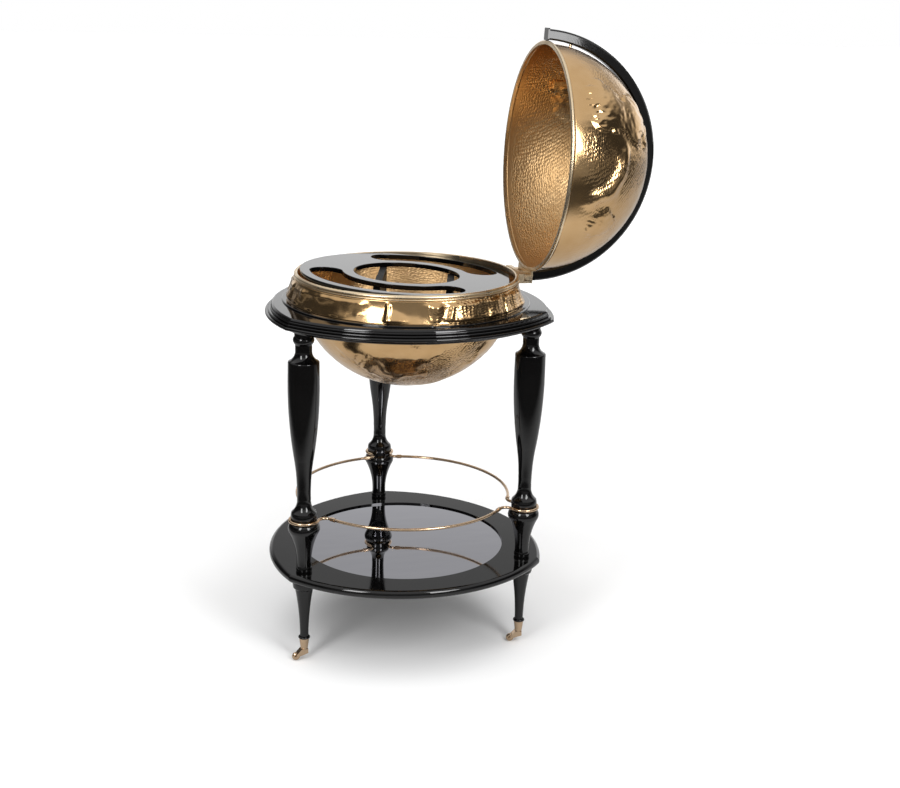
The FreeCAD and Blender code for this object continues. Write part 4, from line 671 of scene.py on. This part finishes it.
# White painted floor: matt, a little uneven, brighter far from the object. Where polished surfaces mirror it towards
# the camera and to both sides, its colour is painted dark as painted shade where the light falls off, and painted a
# little lighter again far away.
floor_white, floor_grey, backdrop_side = "#F2F2F2", "#EBEBEB", (0.5, 0.866, 0.0)
dark_from, dark_full, dark_near, dark_far = 1.4, 2.9, 0.3, 0.93
lit_from, lit_full, dark_left = 7.0, 12.0, 0.68
glow_from, glow_full, glow_near, glow_far = 0.9, 4.0, 0.08, 0.4
floor_paint, tree, shader = new_material("matt white studio floor")
tree.nodes.remove(shader)
place = add_node(tree, "ShaderNodeTexCoord").outputs["Object"]
uneven = add_node(tree, "ShaderNodeTexNoise", {"Vector": place, "Scale": 1.5})
paint = add_node(tree, "ShaderNodeMix", {0: uneven.outputs[0], 6: linear(floor_white), 7: linear(floor_grey)},
                 data_type="RGBA")
seen = add_node(tree, "ShaderNodeLightPath")
back = add_node(tree, "ShaderNodeVectorMath", {0: place, 1: backdrop_side}, operation="DOT_PRODUCT")
away = add_node(tree, "ShaderNodeVectorMath", {0: place}, operation="LENGTH").outputs["Value"]
off_backdrop = add_node(tree, "ShaderNodeMath", {0: away, 1: back.outputs["Value"]}, operation="SUBTRACT").outputs[0]
# Painted shade: in reflections the floor's colour is darkened by its place, not by the lamps.
falling_off = add_node(tree, "ShaderNodeMapRange", {0: off_backdrop, 1: dark_from, 2: dark_full, 3: dark_near,
                                                    4: dark_far}, interpolation_type="SMOOTHSTEP")
lit_again = add_node(tree, "ShaderNodeMapRange", {0: off_backdrop, 1: lit_from, 2: lit_full, 3: 1.0, 4: dark_left})
painted_shade = add_node(tree, "ShaderNodeMath", {0: falling_off.outputs[0], 1: lit_again.outputs[0]}, operation="MULTIPLY")
mirrored = add_node(tree, "ShaderNodeMath", {0: painted_shade.outputs[0], 1: seen.outputs["Is Glossy Ray"]},
                    operation="MULTIPLY")
shown = add_node(tree, "ShaderNodeMix", {0: mirrored.outputs[0], 6: paint.outputs[2], 7: (0.0, 0.0, 0.0, 1.0)},
                 data_type="RGBA")
matt = add_node(tree, "ShaderNodeBsdfDiffuse", {"Color": shown.outputs[2]})
far_lift = add_node(tree, "ShaderNodeMapRange", {0: away, 1: glow_from, 2: glow_full, 3: glow_near, 4: glow_far})
floor_lift = add_node(tree, "ShaderNodeMath", {0: seen.outputs["Is Camera Ray"], 1: far_lift.outputs[0]},
                      operation="MULTIPLY")
glow = add_node(tree, "ShaderNodeEmission", {"Strength": floor_lift.outputs[0]})
both = add_node(tree, "ShaderNodeAddShader", {0: matt.outputs[0], 1: glow.outputs[0]})
tree.links.new(both.outputs[0], tree.nodes["Material Output"].inputs["Surface"])
mesh.materials.append(floor_paint)

object_middle = Vector((0.0, 0.0, 1.0))
softboxes = {"softbox_left": ((-1.95, -2.17, 2.42), (0.8, 1.75), 46.0),
             "softbox_right": ((1.0, -2.74, 2.3), (0.68, 1.9), 42.0),
             "softbox_high": ((1.52, -2.5, 2.35), (0.4, 1.0), 13.0)}
for name, (lamp_spot, (wide, high), watts) in softboxes.items():
    light = bpy.data.lights.new(name, "AREA")
    light.shape, light.size, light.size_y, light.energy = "RECTANGLE", wide, high, watts
    lamp = bpy.data.objects.new(name, light)
    lamp.location = lamp_spot
    lamp.rotation_mode = "QUATERNION"
    lamp.rotation_quaternion = (object_middle - Vector(lamp_spot)).to_track_quat("-Z", "Y")
    lamp.visible_camera = False
    bpy.context.scene.collection.objects.link(lamp)

# A broad ceiling light, even over the whole floor, seen by matt surfaces alone.
ceiling_strength, ceiling_spread = 2.2, math.radians(70)
ceiling = bpy.data.lights.new("ceiling_light", "SUN")
ceiling.energy, ceiling.angle = ceiling_strength, ceiling_spread
lamp = bpy.data.objects.new("ceiling_light", ceiling)
lamp.visible_glossy = False
bpy.context.scene.collection.objects.link(lamp)

# The room as polished surfaces mirror it: a bright backdrop behind the object and to its right that fades upwards,
# a pale ceiling, a grey wall behind the camera and dark side walls. The camera sees white past the floor's edge.
backdrop_light, backdrop_high, fade_from, fade_full = 1.25, 0.45, 0.19, 0.4
backdrop_edge, backdrop_full, ceiling_edge, ceiling_full = 0.42, 0.9, 0.42, 0.66
wall_grey, wall_dark, wall_side, wall_edge, wall_full = 0.28, 0.05, (-0.09, -1.0, 0.0), 0.45, 0.8
ceiling_level, ambient = 0.88, 0.2
world = bpy.data.worlds.new("white studio room")
world.use_nodes = True
tree = world.node_tree
backdrop = tree.nodes["Background"]
look = add_node(tree, "ShaderNodeTexCoord").outputs["Generated"]
rise = add_node(tree, "ShaderNodeSeparateXYZ", {0: look}).outputs[2]
behind = add_node(tree, "ShaderNodeMapRange", {0: rise, 1: fade_from, 2: fade_full, 3: backdrop_light,
                                               4: backdrop_high}, interpolation_type="SMOOTHSTEP")
facing = add_node(tree, "ShaderNodeVectorMath", {0: look, 1: backdrop_side}, operation="DOT_PRODUCT")
turned = add_node(tree, "ShaderNodeMapRange", {0: facing.outputs["Value"], 1: backdrop_edge, 2: backdrop_full},
                  interpolation_type="SMOOTHSTEP")
fronting = add_node(tree, "ShaderNodeVectorMath", {0: look, 1: wall_side}, operation="DOT_PRODUCT")
front = add_node(tree, "ShaderNodeMapRange", {0: fronting.outputs["Value"], 1: wall_edge, 2: wall_full, 3: wall_dark,
                                              4: wall_grey}, interpolation_type="SMOOTHSTEP")
walls = add_node(tree, "ShaderNodeMix", {0: turned.outputs[0], 2: front.outputs[0], 3: behind.outputs[0]},
                 data_type="FLOAT")
overhead = add_node(tree, "ShaderNodeMapRange", {0: rise, 1: ceiling_edge, 2: ceiling_full},
                    interpolation_type="SMOOTHSTEP")
room = add_node(tree, "ShaderNodeMix", {0: overhead.outputs[0], 2: walls.outputs[0], 3: ceiling_level},
                data_type="FLOAT")
seen = add_node(tree, "ShaderNodeLightPath")
shine = add_node(tree, "ShaderNodeMix", {0: seen.outputs["Is Glossy Ray"], 2: ambient, 3: room.outputs[0]},
                 data_type="FLOAT")
clear = add_node(tree, "ShaderNodeMath", {0: seen.outputs["Is Camera Ray"], 1: seen.outputs["Is Transmission Ray"]},
                 operation="MAXIMUM")
level = add_node(tree, "ShaderNodeMix", {0: clear.outputs[0], 2: shine.outputs[0], 3: 1.0}, data_type="FLOAT")
tree.links.new(level.outputs[0], backdrop.inputs["Strength"])
backdrop.inputs["Color"].default_value = (1.0, 1.0, 1.0, 1.0)
bpy.context.scene.world = world

# The camera stands a little left of the front and above the open lid's middle, with a slight lean.
camera_spot = Vector((-0.7767, -3.6280, 1.7770))
camera_aim = Vector((0.1210, -0.0302, 0.6884))
camera_lean = math.radians(1.62)
camera_lens = 56.40
view = bpy.data.cameras.new("studio_camera")
view.lens, view.sensor_width, view.sensor_fit = camera_lens, 36.0, "HORIZONTAL"
camera = bpy.data.objects.new("studio_camera", view)
bpy.context.scene.collection.objects.link(camera)
ahead = (camera_aim - camera_spot).normalized()
right = ahead.cross(Vector((0, 0, 1))).normalized()
above = right.cross(ahead)
leaned_right = right * math.cos(camera_lean) + above * math.sin(camera_lean)
leaned_up = above * math.cos(camera_lean) - right * math.sin(camera_lean)
camera_turn = Matrix((leaned_right, leaned_up, -ahead)).transposed().to_4x4()
camera.matrix_world = Matrix.Translation(camera_spot) @ camera_turn
bpy.context.scene.camera = camera
bpy.context.scene.view_settings.view_transform = "Standard"
